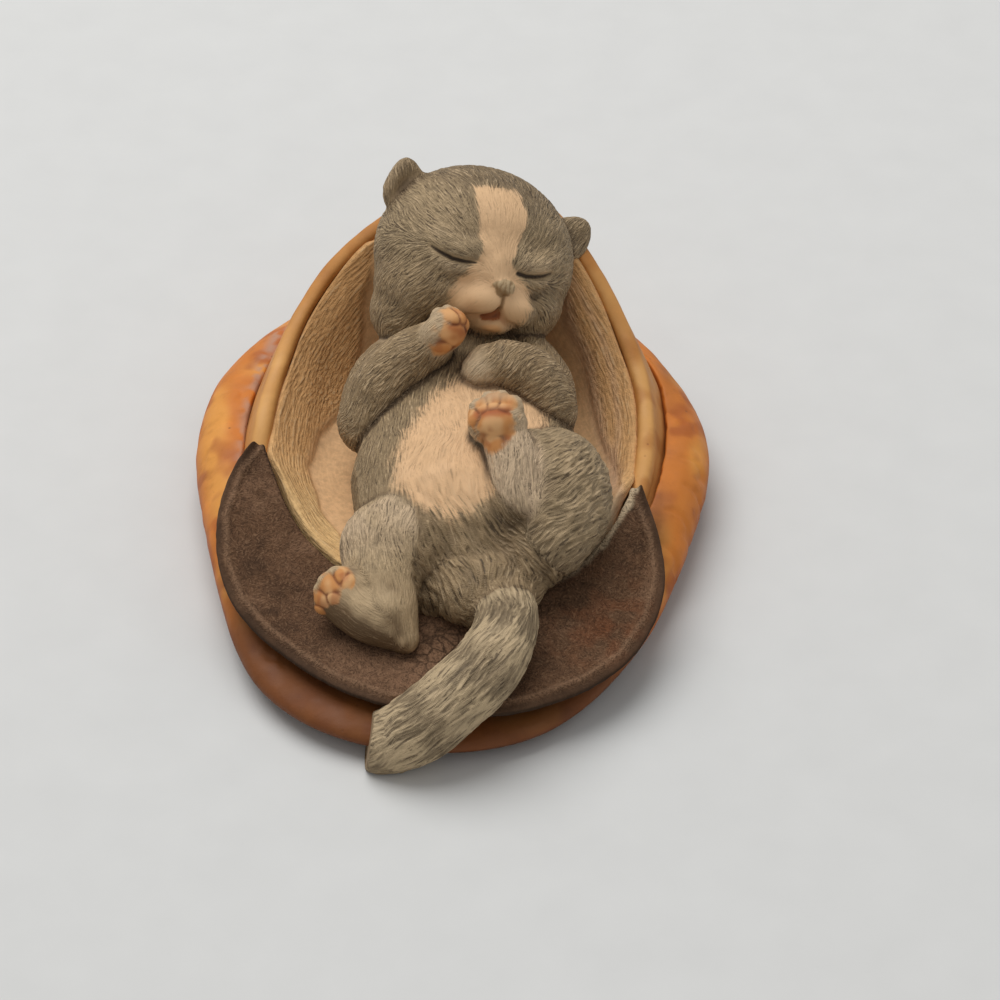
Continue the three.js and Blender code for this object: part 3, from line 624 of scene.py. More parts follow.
pawMask = np.zeros(len(points))
for name in paws:
    centre, axes, (wide, long, thick) = pawFrame(name)
    pawMask = np.maximum(pawMask, isPart[name] * ramp(
        ballGap(points, centre + axes @ Vector((0, long * 0.3, 0)), (wide, long, thick), axes), 1.4, 0.2))

coatCut = {
    "depth": {"head": 0.07, "ear_right": 0.04, "ear_left": 0.04, "torso": 0.07, "foreleg_right": 0.075,
              "foreleg_left": 0.075, "hind_leg_left": 0.075, "hind_leg_right": 0.06, "tail": 0.1},
    "deeper": 0.12,  # where the coat is shaggy
    # width and length of a strand, mm, and a seed: fine coat, shaggy coat, long wisps down the tail
    "strands": [(0.26, 1.5, 1), (0.42, 2.9, 2), (0.5, 5, 3)],
}
shag = relax(np.clip(groin + haunchMask * ramp(-y, 2, 12) + 0.8 * isPart["tail"], 0, 1), edges, 10)
depth = np.array([coatCut["depth"][name] for name in pieceNames])[belongs] + coatCut["deeper"] * shag
muzzle = isPart["head"] * ramp(outHead, 8, 10) * ramp(-upHead, 2.2, 4) \
    * ramp(blazeGap, -0.9, 0.6)
contact = isPart["foreleg_right"] * ramp(gaps["head"], 1.8, 0.4)  # where the paw rests on the muzzle
bare = np.maximum.reduce([pads, contact, smoothFoot * 0.65, mouthMask.clip(0, 1), 0.8 * muzzle, noseMask.clip(0, 1),
                          tailFacet])
eyeGap = np.minimum(nearLine["eyeRight"][0], nearLine["eyeLeft"][0])
onEye = onFace * ramp(eyeGap, 0.6, 0.3)
bare = np.maximum.reduce([bare, onEye, 0.75 * isPart["ear_right"] * ramp(hollow, -0.02, 0.05)])
cut = (1 - 0.6 * belly) * (1 - 0.75 * blaze) * (1 - bare) * (1 - 0.5 * pawMask)  # how strongly the coat is cut
cut = relax(cut, edges, 4)
fineFur, shagFur, streaks = (strokes(points, flow, *strand) for strand in coatCut["strands"])
shagFur = shagFur + (streaks - shagFur) * softPart["tail"] * 0.8
fur = fineFur * (1 - shag) + shagFur * shag
points = points + normals * (depth * cut * (fur - 0.3))[:, None]
writePoints(blank.data, points)
hollow = hollow * (1 - 0.92 * blaze)
print("coat cut")


# the painted colours of the kitten
coatColours = {
    "grey": (158, 136, 104), "greyDark": (124, 104, 78), "light": (190, 164, 127), "warmShade": (148, 120, 84),
    "shank": (218, 190, 156), "sole": (106, 82, 54), "knuckle": (196, 170, 136), "ear": (142, 119, 88),
    "seamShade": (92, 69, 46), "hockShadow": (96, 76, 50), "cream": (226, 184, 139), "muzzle": (226, 186, 142),
    "muzzleShade": (212, 170, 124), "tailGrey": (132, 114, 88), "tailCream": (190, 167, 132), "facet": (146, 122, 92),
    "pad": (204, 140, 80), "padLight": (226, 178, 124), "padDeep": (166, 88, 44), "padCrease": (120, 62, 28),
    "nose": (192, 166, 128), "noseLinesAndShadow": (132, 98, 58), "mouth": (160, 90, 42), "mouthShade": (104, 58, 30),
    "lip": (214, 158, 102), "line": (16, 10, 7),
}


def allOver(look, name, count):  # one colour of a look on every point
    return np.tile(linear(*look[name]), (count, 1))


def layered(colours, look, layers):  # colours of a look, each laid over the ones before it through its mask
    for name, mask in layers:
        colours = colours + (linear(*look[name]) - colours) * np.clip(mask, 0, 1)[:, None]
    return colours


cloud = noise(points, 5, 40) * 0.6 + noise(points, 2.2, 41) * 0.4
headLights = 0.7 * bump(np.hypot(acrossHead + 7.4, upHead - 4.2), 4.4) \
    + 0.6 * bump(np.hypot(acrossHead - 6, upHead - 2), 2.6)
shank = isPart["hind_leg_left"] * ramp(limbGap(points, limbs["hind_leg_left"][1]["line"]), 1.2, 0.1)
knee = isPart["hind_leg_right"] * (0.7 + 0.3 * ramp(-y, 20, 28))
thigh = relax(isPart["hind_leg_right"] * ramp(y, -30, -24), edges, 12) * ramp(noise(points, 3, 82), 0.2, 0.6)
# painted shade: the smooth sole of the right hind foot darkens wherever it turns away from the front and from above
soleInShade = ramp(normals @ viewBack + 0.4 * normals[:, 2] + 0.3 * (noise(points, 1.5, 83) - 0.5), 1.35, 1)
# painted shade and reflected light: the forelegs, body and lower cheeks are toned warmer and darker, as shaded sides
# lit by the orange cap
warmShadeZone = isPart["foreleg_right"] + isPart["foreleg_left"] + 0.6 * isPart["torso"] \
    + isPart["head"] * ramp(-upHead, 0, 6)
brushed = ramp(-hollow, 0.015, 0.1) * ramp(noise(points, 2.6, 81), 0.25, 0.7)  # on the high places
paint = layered(allOver(coatColours, "grey", len(points)), coatColours, [
    ("greyDark", ramp(cloud, 0.5, 0.85) * 0.5), ("light", ramp(cloud, 0.5, 0.2) * 0.3),
    ("greyDark", isPart["head"] * ramp(upHead, 7, 11) * 0.6), ("light", isPart["head"] * headLights),
    ("shank", relax(shank, edges, 12)), ("light", relax(knee, edges, 12)), ("shank", 0.75 * thigh),
    # painted shade: the sole colour goes on where the smooth foot turns from the light
    ("sole", smoothFoot * ramp(normals[:, 0], 0.7, 0.1) * soleInShade),
    ("knuckle", 0.75 * pawMask * (1 - isPart["hind_leg_right"])), ("knuckle", contact),
    ("tailGrey", isPart["tail"] * 0.8), ("warmShade", 0.5 * warmShadeZone * (1 - pawMask) * (1 - contact)),
    ("ear", isPart["ear_right"] * 0.8), ("knuckle", 0.42 * brushed * (1 - isPart["tail"]) * (1 - 0.9 * smoothFoot)),
])

# the pale markings, and the tail's bands
markPaint = layered(allOver(coatColours, "cream", len(points)), coatColours, [
    # painted shade: the lower muzzle is a little darker, under the face
    ("muzzle", isPart["head"]), ("muzzleShade", isPart["head"] * ramp(-upHead, 4, 7)),
    ("tailCream", isPart["tail"]),
])
tailAlong = alongLimb(points, limbs["tail"][0]["line"])[1]
tailBand = {"first": 18, "every": 8.6, "ragged": 1.6}
band = 0.5 + 0.5 * ramp(tailAlong, 5, 9) * np.cos(
    (tailAlong + tailBand["ragged"] * streaks - tailBand["first"]) / tailBand["every"] * 2 * math.pi)
band = np.clip(band + 0.22 * streaks, 0, 1)
marking = np.maximum.reduce([belly, blaze, isPart["tail"] * (0.16 + 0.68 * band)])

# details, painted over coat and marking alike
onMuzzle = isPart["head"] * (outHead > 8)
lipGap = np.minimum(nearLine["lipRight"][0], nearLine["lipLeft"][0])
inMouth = ramp(mouthMask, 0.2, 0.6)
# painted shadow on the lower part of the nose
shadowUnderNose = ramp(noseMask, 0.08, 0.4) * ramp(-upHead - 0.25 * (acrossHead - 1.3), 3.1, 3.9)
strongCrease = 0.6 + 0.4 * under + 0.3 * isPart["hind_leg_right"] + 0.3 * isPart["foreleg_right"]
hock = np.array([10.7, -22.3, 11.9 + floorHeight])
# painted shade, laid on as a dark wash, where one form meets the next
seams = relax(1 - np.max([softPart[n] for n in pieceNames], axis=0), edges, 20) * 1.6  # where one form meets the next
seams = seams * (1 - softPart["ear_right"] - softPart["ear_left"]).clip(0) * (1 - 0.6 * valley)
details = [
    # painted shadow under the hock of the raised hind leg
    ("hockShadow", bump(np.linalg.norm((points - hock) * np.array([0.75, 1, 1.15]), axis=1), 2.6) * 0.9),
    # painted shade where the forms meet
    ("seamShade", ramp(seams, 0.02, 0.5) * 0.7),
    # the dark paint under the nose here is painted shadow
    ("nose", ramp(noseMask, 0.3, 0.6)), ("facet", tailFacet), ("pad", pads), ("noseLinesAndShadow", shadowUnderNose * 0.8),
    ("padLight", pads * ramp(noise(points, 1.5, 43), 0.4, 0.75) * 0.8),
    ("padDeep", pads * ramp(noise(points, 1.1, 44), 0.55, 0.85) * 0.5), ("padDeep", under * 0.85),
    ("pad", pads * isPart["foreleg_right"] * 0.3), ("padCrease", creases * strongCrease),
    ("knuckle", tips * pads * 0.6), ("lip", ramp(lipMask, 0.25, 0.75) * 0.85), ("mouth", inMouth),
    # painted shade in the top of the open mouth, under the upper lip
    ("mouthShade", inMouth * ramp(upHead - 0.3 * acrossHead, -8.2, -7.5)),
    ("noseLinesAndShadow", noseMask.clip(0, 1) * ramp(noseCombs(points, flatHead), -0.2, -0.8) * 0.6),
    ("noseLinesAndShadow", onMuzzle * ramp(nearLine["philtrum"][0], 0.42, 0.12) * 0.85),
    ("mouth", onMuzzle * ramp(lipGap, 0.5, 0.1) * bump(acrossHead - 1.2, 2.4) * 0.6),
]
for name in ("eyeRight", "eyeLeft"):
    gap, along = nearLine[name]
    wide = 0.12 + 0.22 * np.sin(along * math.pi) if name == "eyeRight" else 0.42 - 0.3 * along
    details.append(("line", onFace * ramp(gap, wide, 0.4 * wide)))
paint, markPaint = layered(paint, coatColours, details), layered(markPaint, coatColours, details)


# the one skin is parted into its named pieces, each closed where it leaves the next
def majority(labels, faces, passes):  # each face takes the label that most of the faces round it have
    for _ in range(passes):
        votes = [np.bincount(faces.ravel(), np.repeat(labels == k, 4), faces.max() + 1)[faces].sum(1)
                 for k in range(len(pieceNames))]
        labels = np.where(np.max(votes, axis=0) > 0, np.argmax(votes, axis=0), labels)
    return labels


def joined(ends, count):  # for each point, the lowest point that a chain of these pairs leads to
    a, b = ends.T
    lowest = np.arange(count)
    while (lowest[a] != lowest[b]).any():
        low = lowest.copy()
        np.minimum.at(low, lowest[a], lowest[b])
        np.minimum.at(low, lowest[b], lowest[a])
        while (low != low[low]).any():
            low = low[low]
        lowest = low[lowest]
    return lowest


def withoutScraps(labels, faces, least=300):  # scraps go to the piece around them, and a loose speck is left out
    kept = labels.copy()
    for k in range(len(pieceNames)):
        own = faces[labels == k]
        patch = joined(np.concatenate([own[:, i:i + 2] for i in range(3)]), faces.max() + 1)
        size = np.bincount(patch[own[:, 0]], minlength=faces.max() + 1)
        kept[(labels == k) & (size[patch[faces[:, 0]]] < least)] = -1
    return np.where(kept < 0, majority(kept, faces, 8), kept)


def partKitten(mesh, values):
    faces = readArray(mesh.loops, "vertex_index", 1, np.int32).reshape(-1, 4)
    labels = withoutScraps(majority(belongs[faces[:, 0]], faces, 6), faces)
    pieces = {}
    for k, name in enumerate(pieceNames):
        used, own = np.unique(faces[labels == k], return_inverse=True)
        own, count = own.reshape(-1, 4), len(used)
        sides = np.unique(np.concatenate([own[:, [i, (i + 1) % 4]] for i in range(4)]), axis=0)
        rim = sides[~np.isin(sides @ [count, 1], sides @ [1, count])]
        rings, hub = np.unique(joined(rim, count)[rim[:, 0]], return_inverse=True)
        caps = np.stack([rim[:, 1], rim[:, 0], count + hub], 1)  # a fan closes each open ring

        def withHubs(value):
            return np.concatenate([value] + [value[np.unique(rim[hub == i])].mean(0)[None] for i in range(len(rings))])

        piece = bpy.data.meshes.new("kitten_" + name)
        tagged = {n: withHubs(v[used]) for n, v in values.items()}
        piece.from_pydata((tagged.pop("points") * mm).tolist(), [], own.tolist() + caps.tolist())
        for attribute, value in tagged.items():
            setAttribute(piece, attribute, value)
        piece.shade_smooth()
        piece.polygons.foreach_set("use_smooth", np.arange(len(piece.polygons)) < len(own))
        piece.update()
        pieces[name] = bpy.data.objects.new("kitten_" + name, piece)
        bpy.context.scene.collection.objects.link(pieces[name])
        print("  kitten_" + name, len(own), "quads,", len(rings), "seams")
    return pieces


kitten = partKitten(blank.data, {"points": points, "paint": paint, "markPaint": markPaint, "marking": marking,
                                 "fur": fur * cut, "cut": cut, "shag": shag, "lie": flow, "hollow": hollow})
bpy.data.objects.remove(blank)
print("kitten parted")


# materials
def feed(tree, socket, value):  # a value, or a link when it comes from another node
    if isinstance(value, bpy.types.NodeSocket):
        tree.links.new(value, socket)
    else:
        socket.default_value = value


def addNode(tree, kind, settings=None, **inputs):  # inputs by name, or by number as i0, i1
    node = tree.nodes.new(kind)
    for key, value in (settings or {}).items():
        setattr(node, key, value)
    for key, value in inputs.items():
        feed(tree, node.inputs[int(key[1:]) if key[1:].isdigit() else key.replace("_", " ")], value)
    return node


def placeGroup(tree, group, **inputs):
    return addNode(tree, "ShaderNodeGroup", {"node_tree": group}, **inputs)


def mixColour(tree, a, b, factor, blend="MIX"):
    settings = {"data_type": "RGBA", "blend_type": blend}
    return addNode(tree, "ShaderNodeMix", settings, i0=factor, i6=a, i7=b).outputs[2]


def blendValue(tree, a, b, share):
    return addNode(tree, "ShaderNodeMix", {"data_type": "FLOAT"}, i0=share, i2=a, i3=b).outputs[0]


def remap(tree, value, low, high, toLow=0.0, toHigh=1.0):
    settings = {"interpolation_type": "SMOOTHSTEP"}
    return addNode(tree, "ShaderNodeMapRange", settings, i0=value, i1=low, i2=high, i3=toLow, i4=toHigh).outputs[0]


def maths(tree, operation, a, b):
    return addNode(tree, "ShaderNodeMath", {"operation": operation}, i0=a, i1=b).outputs[0]


def times(tree, product, *others):
    for other in others:
        product = maths(tree, "MULTIPLY", product, other)
    return product


def cloudy(tree, vector, scale, detail, rough=0.5):
    return addNode(tree, "ShaderNodeTexNoise", Vector=vector, Scale=scale, Detail=detail, Roughness=rough).outputs[0]


def attribute(tree, name, output="Fac"):
    return addNode(tree, "ShaderNodeAttribute", {"attribute_name": name}).outputs[output]


def rgba(*colour):
    return (*linear(*colour), 1)


def newGroup(name, inputs, outputs):
    group = bpy.data.node_groups.new(name, "ShaderNodeTree")
    kinds = {"c": "NodeSocketColor", "f": "NodeSocketFloat", "v": "NodeSocketVector"}
    for label, kind, value in inputs:
        socket = group.interface.new_socket(name=label, in_out="INPUT", socket_type=kinds[kind])
        if value is not None:
            socket.default_value = value
    for label, kind in outputs:
        group.interface.new_socket(name=label, in_out="OUTPUT", socket_type=kinds[kind])
    return group, group.nodes.new("NodeGroupInput").outputs, group.nodes.new("NodeGroupOutput").inputs


def buildMottle():  # clouds and small spots of a lighter and a darker paint over the base
    group, given, out = newGroup("paintMottle", [
        ("Vector", "v", None), ("Base", "c", None), ("Light", "c", None), ("Dark", "c", None), ("Cloud size", "f", 200),
        ("Spot size", "f", 900)], [("Color", "c"), ("Height", "f")])
    cloud, spot = cloudy(group, given[0], given[4], 4.0, 0.6), cloudy(group, given[0], given[5], 5.0, 0.65)
    light = mixColour(group, given[1], given[2], remap(group, cloud, 0.5, 0.72))
    dark = mixColour(group, light, given[3], remap(group, cloud, 0.48, 0.3))
    feed(group, out[0], mixColour(group, dark, given[3], remap(group, spot, 0.6, 0.78, 0.0, 0.55)))
    feed(group, out[1], spot)
    return group


def buildWash():  # thin dark paint left in the hollows
    group, given, out = newGroup("hollowWash", [
        ("Color", "c", None), ("Wash", "c", None), ("Hollow", "f", 0), ("Strength", "f", 1)], [("Color", "c")])
    share = times(group, remap(group, given[2], 0.01, 0.16), given[3])
    feed(group, out[0], mixColour(group, given[0], given[1], share))
    return group


def buildGrain():  # fine tooth of matt paint, as a height and a roughness
    group, given, out = newGroup("paintGrain", [("Vector", "v", None), ("Size", "f", 3000), ("Rough", "f", 0.7)],
                                 [("Height", "f"), ("Roughness", "f")])
    feed(group, out[0], cloudy(group, given[0], given[1], 4.0, 0.6))
    vary = remap(group, cloudy(group, given[0], 260.0, 2.0), 0.3, 0.7, -0.08, 0.08)
    feed(group, out[1], maths(group, "ADD", given[2], vary))
    return group


def buildCombed():  # strands combed along a direction, as a height with narrow grooves and pale tips
    group, given, out = newGroup("combedStrands", [
        ("Vector", "v", None), ("Lie", "v", None), ("Fineness", "f", 4000), ("Length", "f", 0.0015)],
        [("Height", "f"), ("Groove", "f"), ("Tip", "f")])
    samples = 11
    total = None
    for i in range(samples):
        reach = times(group, given[3], i / (samples - 1) - 0.5)
        step = addNode(group, "ShaderNodeVectorMath", {"operation": "SCALE"}, i0=given[1], Scale=reach)
        place = addNode(group, "ShaderNodeVectorMath", {"operation": "ADD"}, i0=given[0], i1=step.outputs[0])
        strand = cloudy(group, place.outputs[0], given[2], 1.0)
        total = strand if total is None else maths(group, "ADD", total, strand)
    mean = maths(group, "DIVIDE", total, samples)
    for socket, (low, high) in zip(out, ((0.42, 0.57), (0.472, 0.444), (0.52, 0.575))):
        feed(group, socket, remap(group, mean, low, high))
    return group


mottle, wash, grain, combed = buildMottle(), buildWash(), buildGrain(), buildCombed()


def newMaterial(name, roughness=0.7, specular=0.35):
    material = bpy.data.materials.new(name)
    material.use_nodes = True
    tree = material.node_tree
    shader = tree.nodes["Principled BSDF"]
    shader.inputs["Roughness"].default_value = roughness
    shader.inputs["Specular IOR Level"].default_value = specular
    return material, tree, shader, addNode(tree, "ShaderNodeTexCoord").outputs["Object"]


def finishSurface(tree, shader, colour, vector, height, rough, relief, strength, grainSize=3500.0):  # relief in metres
    tooth = placeGroup(tree, grain, Vector=vector, Size=grainSize, Rough=rough)
    feed(tree, shader.inputs["Base Color"], colour)
    feed(tree, shader.inputs["Roughness"], tooth.outputs[1])
    fine = addNode(tree, "ShaderNodeBump", Height=tooth.outputs[0], Distance=0.00003, Strength=0.35)
    coarse = addNode(tree, "ShaderNodeBump", Height=height, Distance=relief, Strength=strength, Normal=fine.outputs[0])
    feed(tree, shader.inputs["Normal"], coarse.outputs[0])


furPaint = {
    "fine": {"Fineness": 4300.0, "Length": 0.0014}, "shag": {"Fineness": 2800.0, "Length": 0.0024},
    "groove": (54, 40, 26), "grooveShare": (0.76, 0.8), "tip": (208, 184, 148), "wash": (72, 54, 36),
    "relief": 0.00022,
}


def kittenMaterial(name, tipShare):
    material, tree, shader, vector = newMaterial(name)
    lie, cut, shag = attribute(tree, "lie", "Vector"), attribute(tree, "cut"), attribute(tree, "shag")
    fine = placeGroup(tree, combed, Vector=vector, Lie=lie, **furPaint["fine"])
    rough = placeGroup(tree, combed, Vector=vector, Lie=lie, **furPaint["shag"])
    height, groove, tip = (blendValue(tree, fine.outputs[i], rough.outputs[i], shag) for i in range(3))
    edge = times(tree, maths(tree, "SUBTRACT", height, 0.5), 0.55)
    marked = remap(tree, maths(tree, "ADD", attribute(tree, "marking"), edge), 0.12, 0.88)
    coat = mixColour(tree, attribute(tree, "paint", "Color"), attribute(tree, "markPaint", "Color"), marked)
    coat = mixColour(tree, coat, remap(tree, attribute(tree, "fur"), -1.0, 0.6, 0.8, 1.04), 1.0, "MULTIPLY")
    uneven = remap(tree, cloudy(tree, vector, 420.0, 2.0), 0.36, 0.62, 0.35, 1.0)
    dark = times(tree, groove, cut, uneven, remap(tree, shag, 0.0, 1.0, *furPaint["grooveShare"]))
    coat = mixColour(tree, coat, rgba(*furPaint["tip"]), times(tree, tip, cut, tipShare))
    coat = mixColour(tree, coat, rgba(*furPaint["groove"]), dark)
    washed = placeGroup(tree, wash, Color=coat, Wash=rgba(*furPaint["wash"]), Hollow=attribute(tree, "hollow"),
                        Strength=0.6)
    finishSurface(tree, shader, washed.outputs[0], vector, times(tree, height, cut), rough=0.72,
                  relief=furPaint["relief"], strength=0.9, grainSize=4200.0)
    return material


furs = {"fur_paint": kittenMaterial("kittenPaint", tipShare=0.36),
        "fur_light_paint": kittenMaterial("kittenLightPaint", tipShare=0.48)}
for name, piece in kitten.items():
    slot = "fur_paint" if name in ("head", "torso", "tail") else "fur_light_paint"
    piece.data.materials.append(furs[slot])
    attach(piece, "root")
    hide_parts(name)
print("kitten painted")


# the cap: copies of the frame's solids, made fine and worked over
def copyOfNode(name, newName, levels):
    piece = bpy.data.objects.new(newName, nodes[name].data.copy())
    piece.data.name = newName
    piece.data.materials.clear()
    bpy.context.scene.collection.objects.link(piece)
    pick([piece])
    bpy.ops.object.mode_set(mode="EDIT")
    bpy.ops.mesh.select_all(action="SELECT")
    bpy.ops.mesh.remove_doubles(threshold=0.00001)
    bpy.ops.mesh.tris_convert_to_quads(face_threshold=math.radians(60), shape_threshold=math.radians(80))
    bpy.ops.object.mode_set(mode="OBJECT")
    subdivide = piece.modifiers.new("fine", "SUBSURF")
    subdivide.levels = subdivide.render_levels = levels
    applyAll(piece)
    piece.data.shade_smooth()
    return piece


def workOver(piece, shape):  # shape gives how far each point moves along its normal, mm
    points = readPoints(piece.data)
    normals = readNormals(piece.data)
    points = points + normals * shape(points, normals)[:, None]
    writePoints(piece.data, points)
    return points, normals


capCentre = np.array([-1, 2])
clothLevels = 3


def aboutCap(points):  # angle about the cap's centre, and the directions outwards and round it
    q = points[:, :2] - capCentre
    angle = np.arctan2(q[:, 1], q[:, 0])
    outward = np.stack([np.cos(angle), np.sin(angle), 0 * angle], 1)
    around = np.stack([-np.sin(angle), np.cos(angle), 0 * angle], 1)
    return angle, np.linalg.norm(q, axis=1), outward, around


def roundTheCap(angle, values, pickValue, bins=90):  # a value picked at each angle, as a smooth function
    index = ((angle / math.pi + 1) / 2 * bins).astype(int) % bins
    line = np.array([pickValue(values[index == i]) if (index == i).any() else np.nan for i in range(bins)])
    known = ~np.isnan(line)
    line = np.interp(np.arange(bins), np.arange(bins)[known], line[known])
    for _ in range(2):
        line = (np.roll(line, 1) + 2 * line + np.roll(line, -1)) / 4
    centres = (np.arange(bins) + 0.5) / bins * 2 * math.pi - math.pi
    wrapped = np.concatenate([centres[-1:] - 2 * math.pi, centres, centres[:1] + 2 * math.pi])
    line = np.concatenate([line[-1:], line, line[:1]])
    return lambda a: np.interp(a, wrapped, line)


def topLine(points):
    return roundTheCap(aboutCap(points)[0], points[:, 2], np.max)


def paintOver(mesh, look, layers):
    setAttribute(mesh, "paint", layered(allOver(look, "base", len(mesh.vertices)), look, layers))


# the crown: a soft hand-modelled roll with dents, pits and a few crescent scratches
crownLook = {
    "base": (202, 120, 44), "bright": (224, 156, 72), "rustAndShade": (160, 80, 30), "dark": (104, 58, 24),
    "crease": (180, 142, 120), "dents": 0.55, "lumps": 0.2,
    "leftCrease": [(-29.1, 28.3), (-30, 20), (-30.6, 11), (-30.2, 3), (-29.4, -3)],
    "rightCrease": [(24, 31), (27.4, 22), (29, 12), (29.4, 0), (28.8, -11)],
    "scratches": [(31.5, -8, 8), (33.4, -2, 7.5), (32.6, 3.5, 8.6), (30.4, -14, 8), (-34, 12, 8)],
}


def crownShape(points, normals):
    soft = noise(points, 9, 50) - 0.5
    small = noise(points, 2.6, 51) - 0.5
    pits = ramp(noise(points, 1.1, 52), 0.72, 0.9) * ramp(noise(points, 6, 53), 0.45, 0.7)
    scratch = 0
    for x, y, z in crownLook["scratches"]:
        q = points - np.array([x, y, z])
        ring = np.hypot(q[:, 1], q[:, 0] * 0.8) - 1.6
        scratch = scratch + bump(ring, 0.35) * ramp(q[:, 1] + q[:, 0], -0.6, 1) * (np.abs(q[:, 2]) < 4)
    top = ramp(points[:, 2], 2, 4)
    return (crownLook["dents"] * soft + crownLook["lumps"] * small - 0.15 * pits - 0.3 * scratch) * top


crown = copyOfNode("cap_crown", "crown_cloth", clothLevels)
points = readPoints(crown.data)
innerAngle, innerAway, _, _ = aboutCap(points[points[:, 2] > 8])
innerFace = roundTheCap(innerAngle, innerAway, np.min)
angle, away, outward, around = aboutCap(points)
nearBand = ramp(away - innerFace(angle), 2.4, 0.4) * ramp(points[:, 2], 3, 7)
writePoints(crown.data, points - outward * (1.1 * nearBand)[:, None])  # the roll presses against the band
points, normals = workOver(crown, crownShape)
angle, away, outward, around = aboutCap(points)
x, y, z = points.T
cloud, spot = noise(points, 6, 60), noise(points, 2, 61)
# painted highlight: brighter paint where the crown faces up, broken up by clouds
topHighlight = ramp(normals[:, 2], 0.2, 0.85)
leftCrease, rightCrease = (lineGap(points[:, :2], crownLook[side])[0] for side in ("leftCrease", "rightCrease"))
paintOver(crown.data, crownLook, [
    ("bright", topHighlight * ramp(cloud, 0.42, 0.72) * 0.8),
    ("rustAndShade", ramp(spot * 0.5 + noise(points, 4, 62) * 0.5, 0.52, 0.72) * 0.65),
    # painted shade: redder and darker where the crown turns sideways and down
    ("rustAndShade", ramp(normals[:, 2], 0.45, -0.1) * 0.7),
    # painted shade: darker towards the front under the visor, along the bottom by the table, and in the right-hand
    # crease
    ("dark", ramp(-y, 20, 36) * 0.9 + ramp(z, 3, 1) * 0.6),
    ("dark", bump(rightCrease, 2.2) * 0.6 * ramp(cloud, 0.2, 0.6)),
    ("crease", bump(leftCrease, 1.1) * ramp(noise(points, 0.9, 63), 0.3, 0.6) * 0.8),
])

# the band and its rolled rim
bandLook = {"base": (200, 142, 78), "bright": (220, 166, 98), "rustAndShade": (174, 108, 44)}
band = copyOfNode("cap_band", "band_cloth", clothLevels)
points, normals = workOver(band, lambda p, n: 0.22 * (noise(p, 7, 55) - 0.5) + 0.1 * (noise(p, 2, 56) - 0.5))
paintOver(band.data, bandLook, [
    # painted highlight: brighter where the band faces up, most of all on the left side
    ("bright", ramp(normals[:, 2], 0.5, 0.95) * ramp(noise(points, 5, 64), 0.3, 0.6) * 0.7),
    ("rustAndShade", ramp(noise(points, 3, 65), 0.55, 0.78) * 0.6),
    ("bright", ramp(-points[:, 0], 16, 24) * ramp(normals[:, 2], 0.5, 0.95) * 0.6),
    # redder towards the back; on the back of the left side this is also painted shade that tones down the highlight
    ("rustAndShade", ramp(points[:, 1], 22, 32) * 0.5
     + ramp(-points[:, 0], 14, 24) * ramp(points[:, 1], 8, 24) * 0.6),
    # painted shade where the band turns down
    ("rustAndShade", ramp(normals[:, 2], 0.3, -0.2) * 0.5),
])

# the lining: worn fleece, streaked along the rim, with a smooth bed under the kitten
liningLook = {
    "base": (212, 164, 110), "brown": (194, 146, 94), "cream": (224, 186, 130), "bed": (216, 174, 128),
    "pink": (206, 170, 140), "fringe": (204, 182, 150), "lip": 1.0, "step": 0.45,
    "bedEdge": [(-12, 38), (-15.6, 24), (-17, 14.1), (-19.8, 4.8), (-20.6, -2), (-17.6, -10.4), (-13.3, -16.4),
                (0, -30), (18, -22), (23.8, -8), (21.8, 2), (17, 18), (13, 24.7), (10, 34.2)],
}
lining = copyOfNode("cap_lining", "lining_cloth", clothLevels)
liningTop = topLine(readPoints(lining.data))


def bedGap(points):
    return zoneGap(points[:, :2], liningLook["bedEdge"]) + 0.8 * (noise(points, 4, 66) - 0.5)


def liningShape(points, normals):
    inside = bedGap(points)
    wavy = 0.34 * (noise(points, 6, 57) - 0.5) * ramp(points[:, 2], 4, 8)
    return wavy + liningLook["step"] * ramp(inside, 0.3, -0.5) * ramp(normals[:, 2], 0.1, 0.5) \
        * ramp(inside, -5, -1)


points, normals = workOver(lining, liningShape)
angle, away, outward, around = aboutCap(points)
nearTop = ramp(points[:, 2] - liningTop(angle), -3.4, -0.5) * ramp(points[:, 1], -10, -4)
points = points + outward * (liningLook["lip"] * nearTop)[:, None]
points[:, 2] += 0.4 * nearTop
writePoints(lining.data, points)
x, y, z = points.T
inside = bedGap(points)
slope = (liningTop(angle + 0.05) - liningTop(angle - 0.05)) / (0.1 * away)
lie = unit(around + np.stack([0 * x, 0 * x, slope * ramp(z, 8, 12)], 1) + 0.25 * np.stack(
    [noise(points, 3, 67 + i) - 0.5 for i in range(3)], 1))
setAttribute(lining.data, "lie", lie)
setAttribute(lining.data, "wall", ramp(inside, 0.4, -0.8))
cloud = noise(points, 4, 71)
towardVisor = ramp(-y - 0.35 * np.abs(x), -10, 8)
paintOver(lining.data, liningLook, [
    ("brown", ramp(y, -2, 12) * (0.2 + 0.5 * cloud) * ramp(-x, -22, -6)),
    ("cream", towardVisor * 0.85),
    ("bed", ramp(inside, -0.6, 0.6)),
    ("pink", bump(inside + 0.2, 0.8) * (x > 0) * 0.55),
    ("pink", bump(liningTop(angle) - z - 1.6, 0.5) * (x > 10) * 0.35),
    ("brown", ramp(inside, -0.6, 0.6) * ramp(y, 6, 22) * 0.4),
    ("fringe", (x > 16) * ramp(-y, 6, 11)),
])

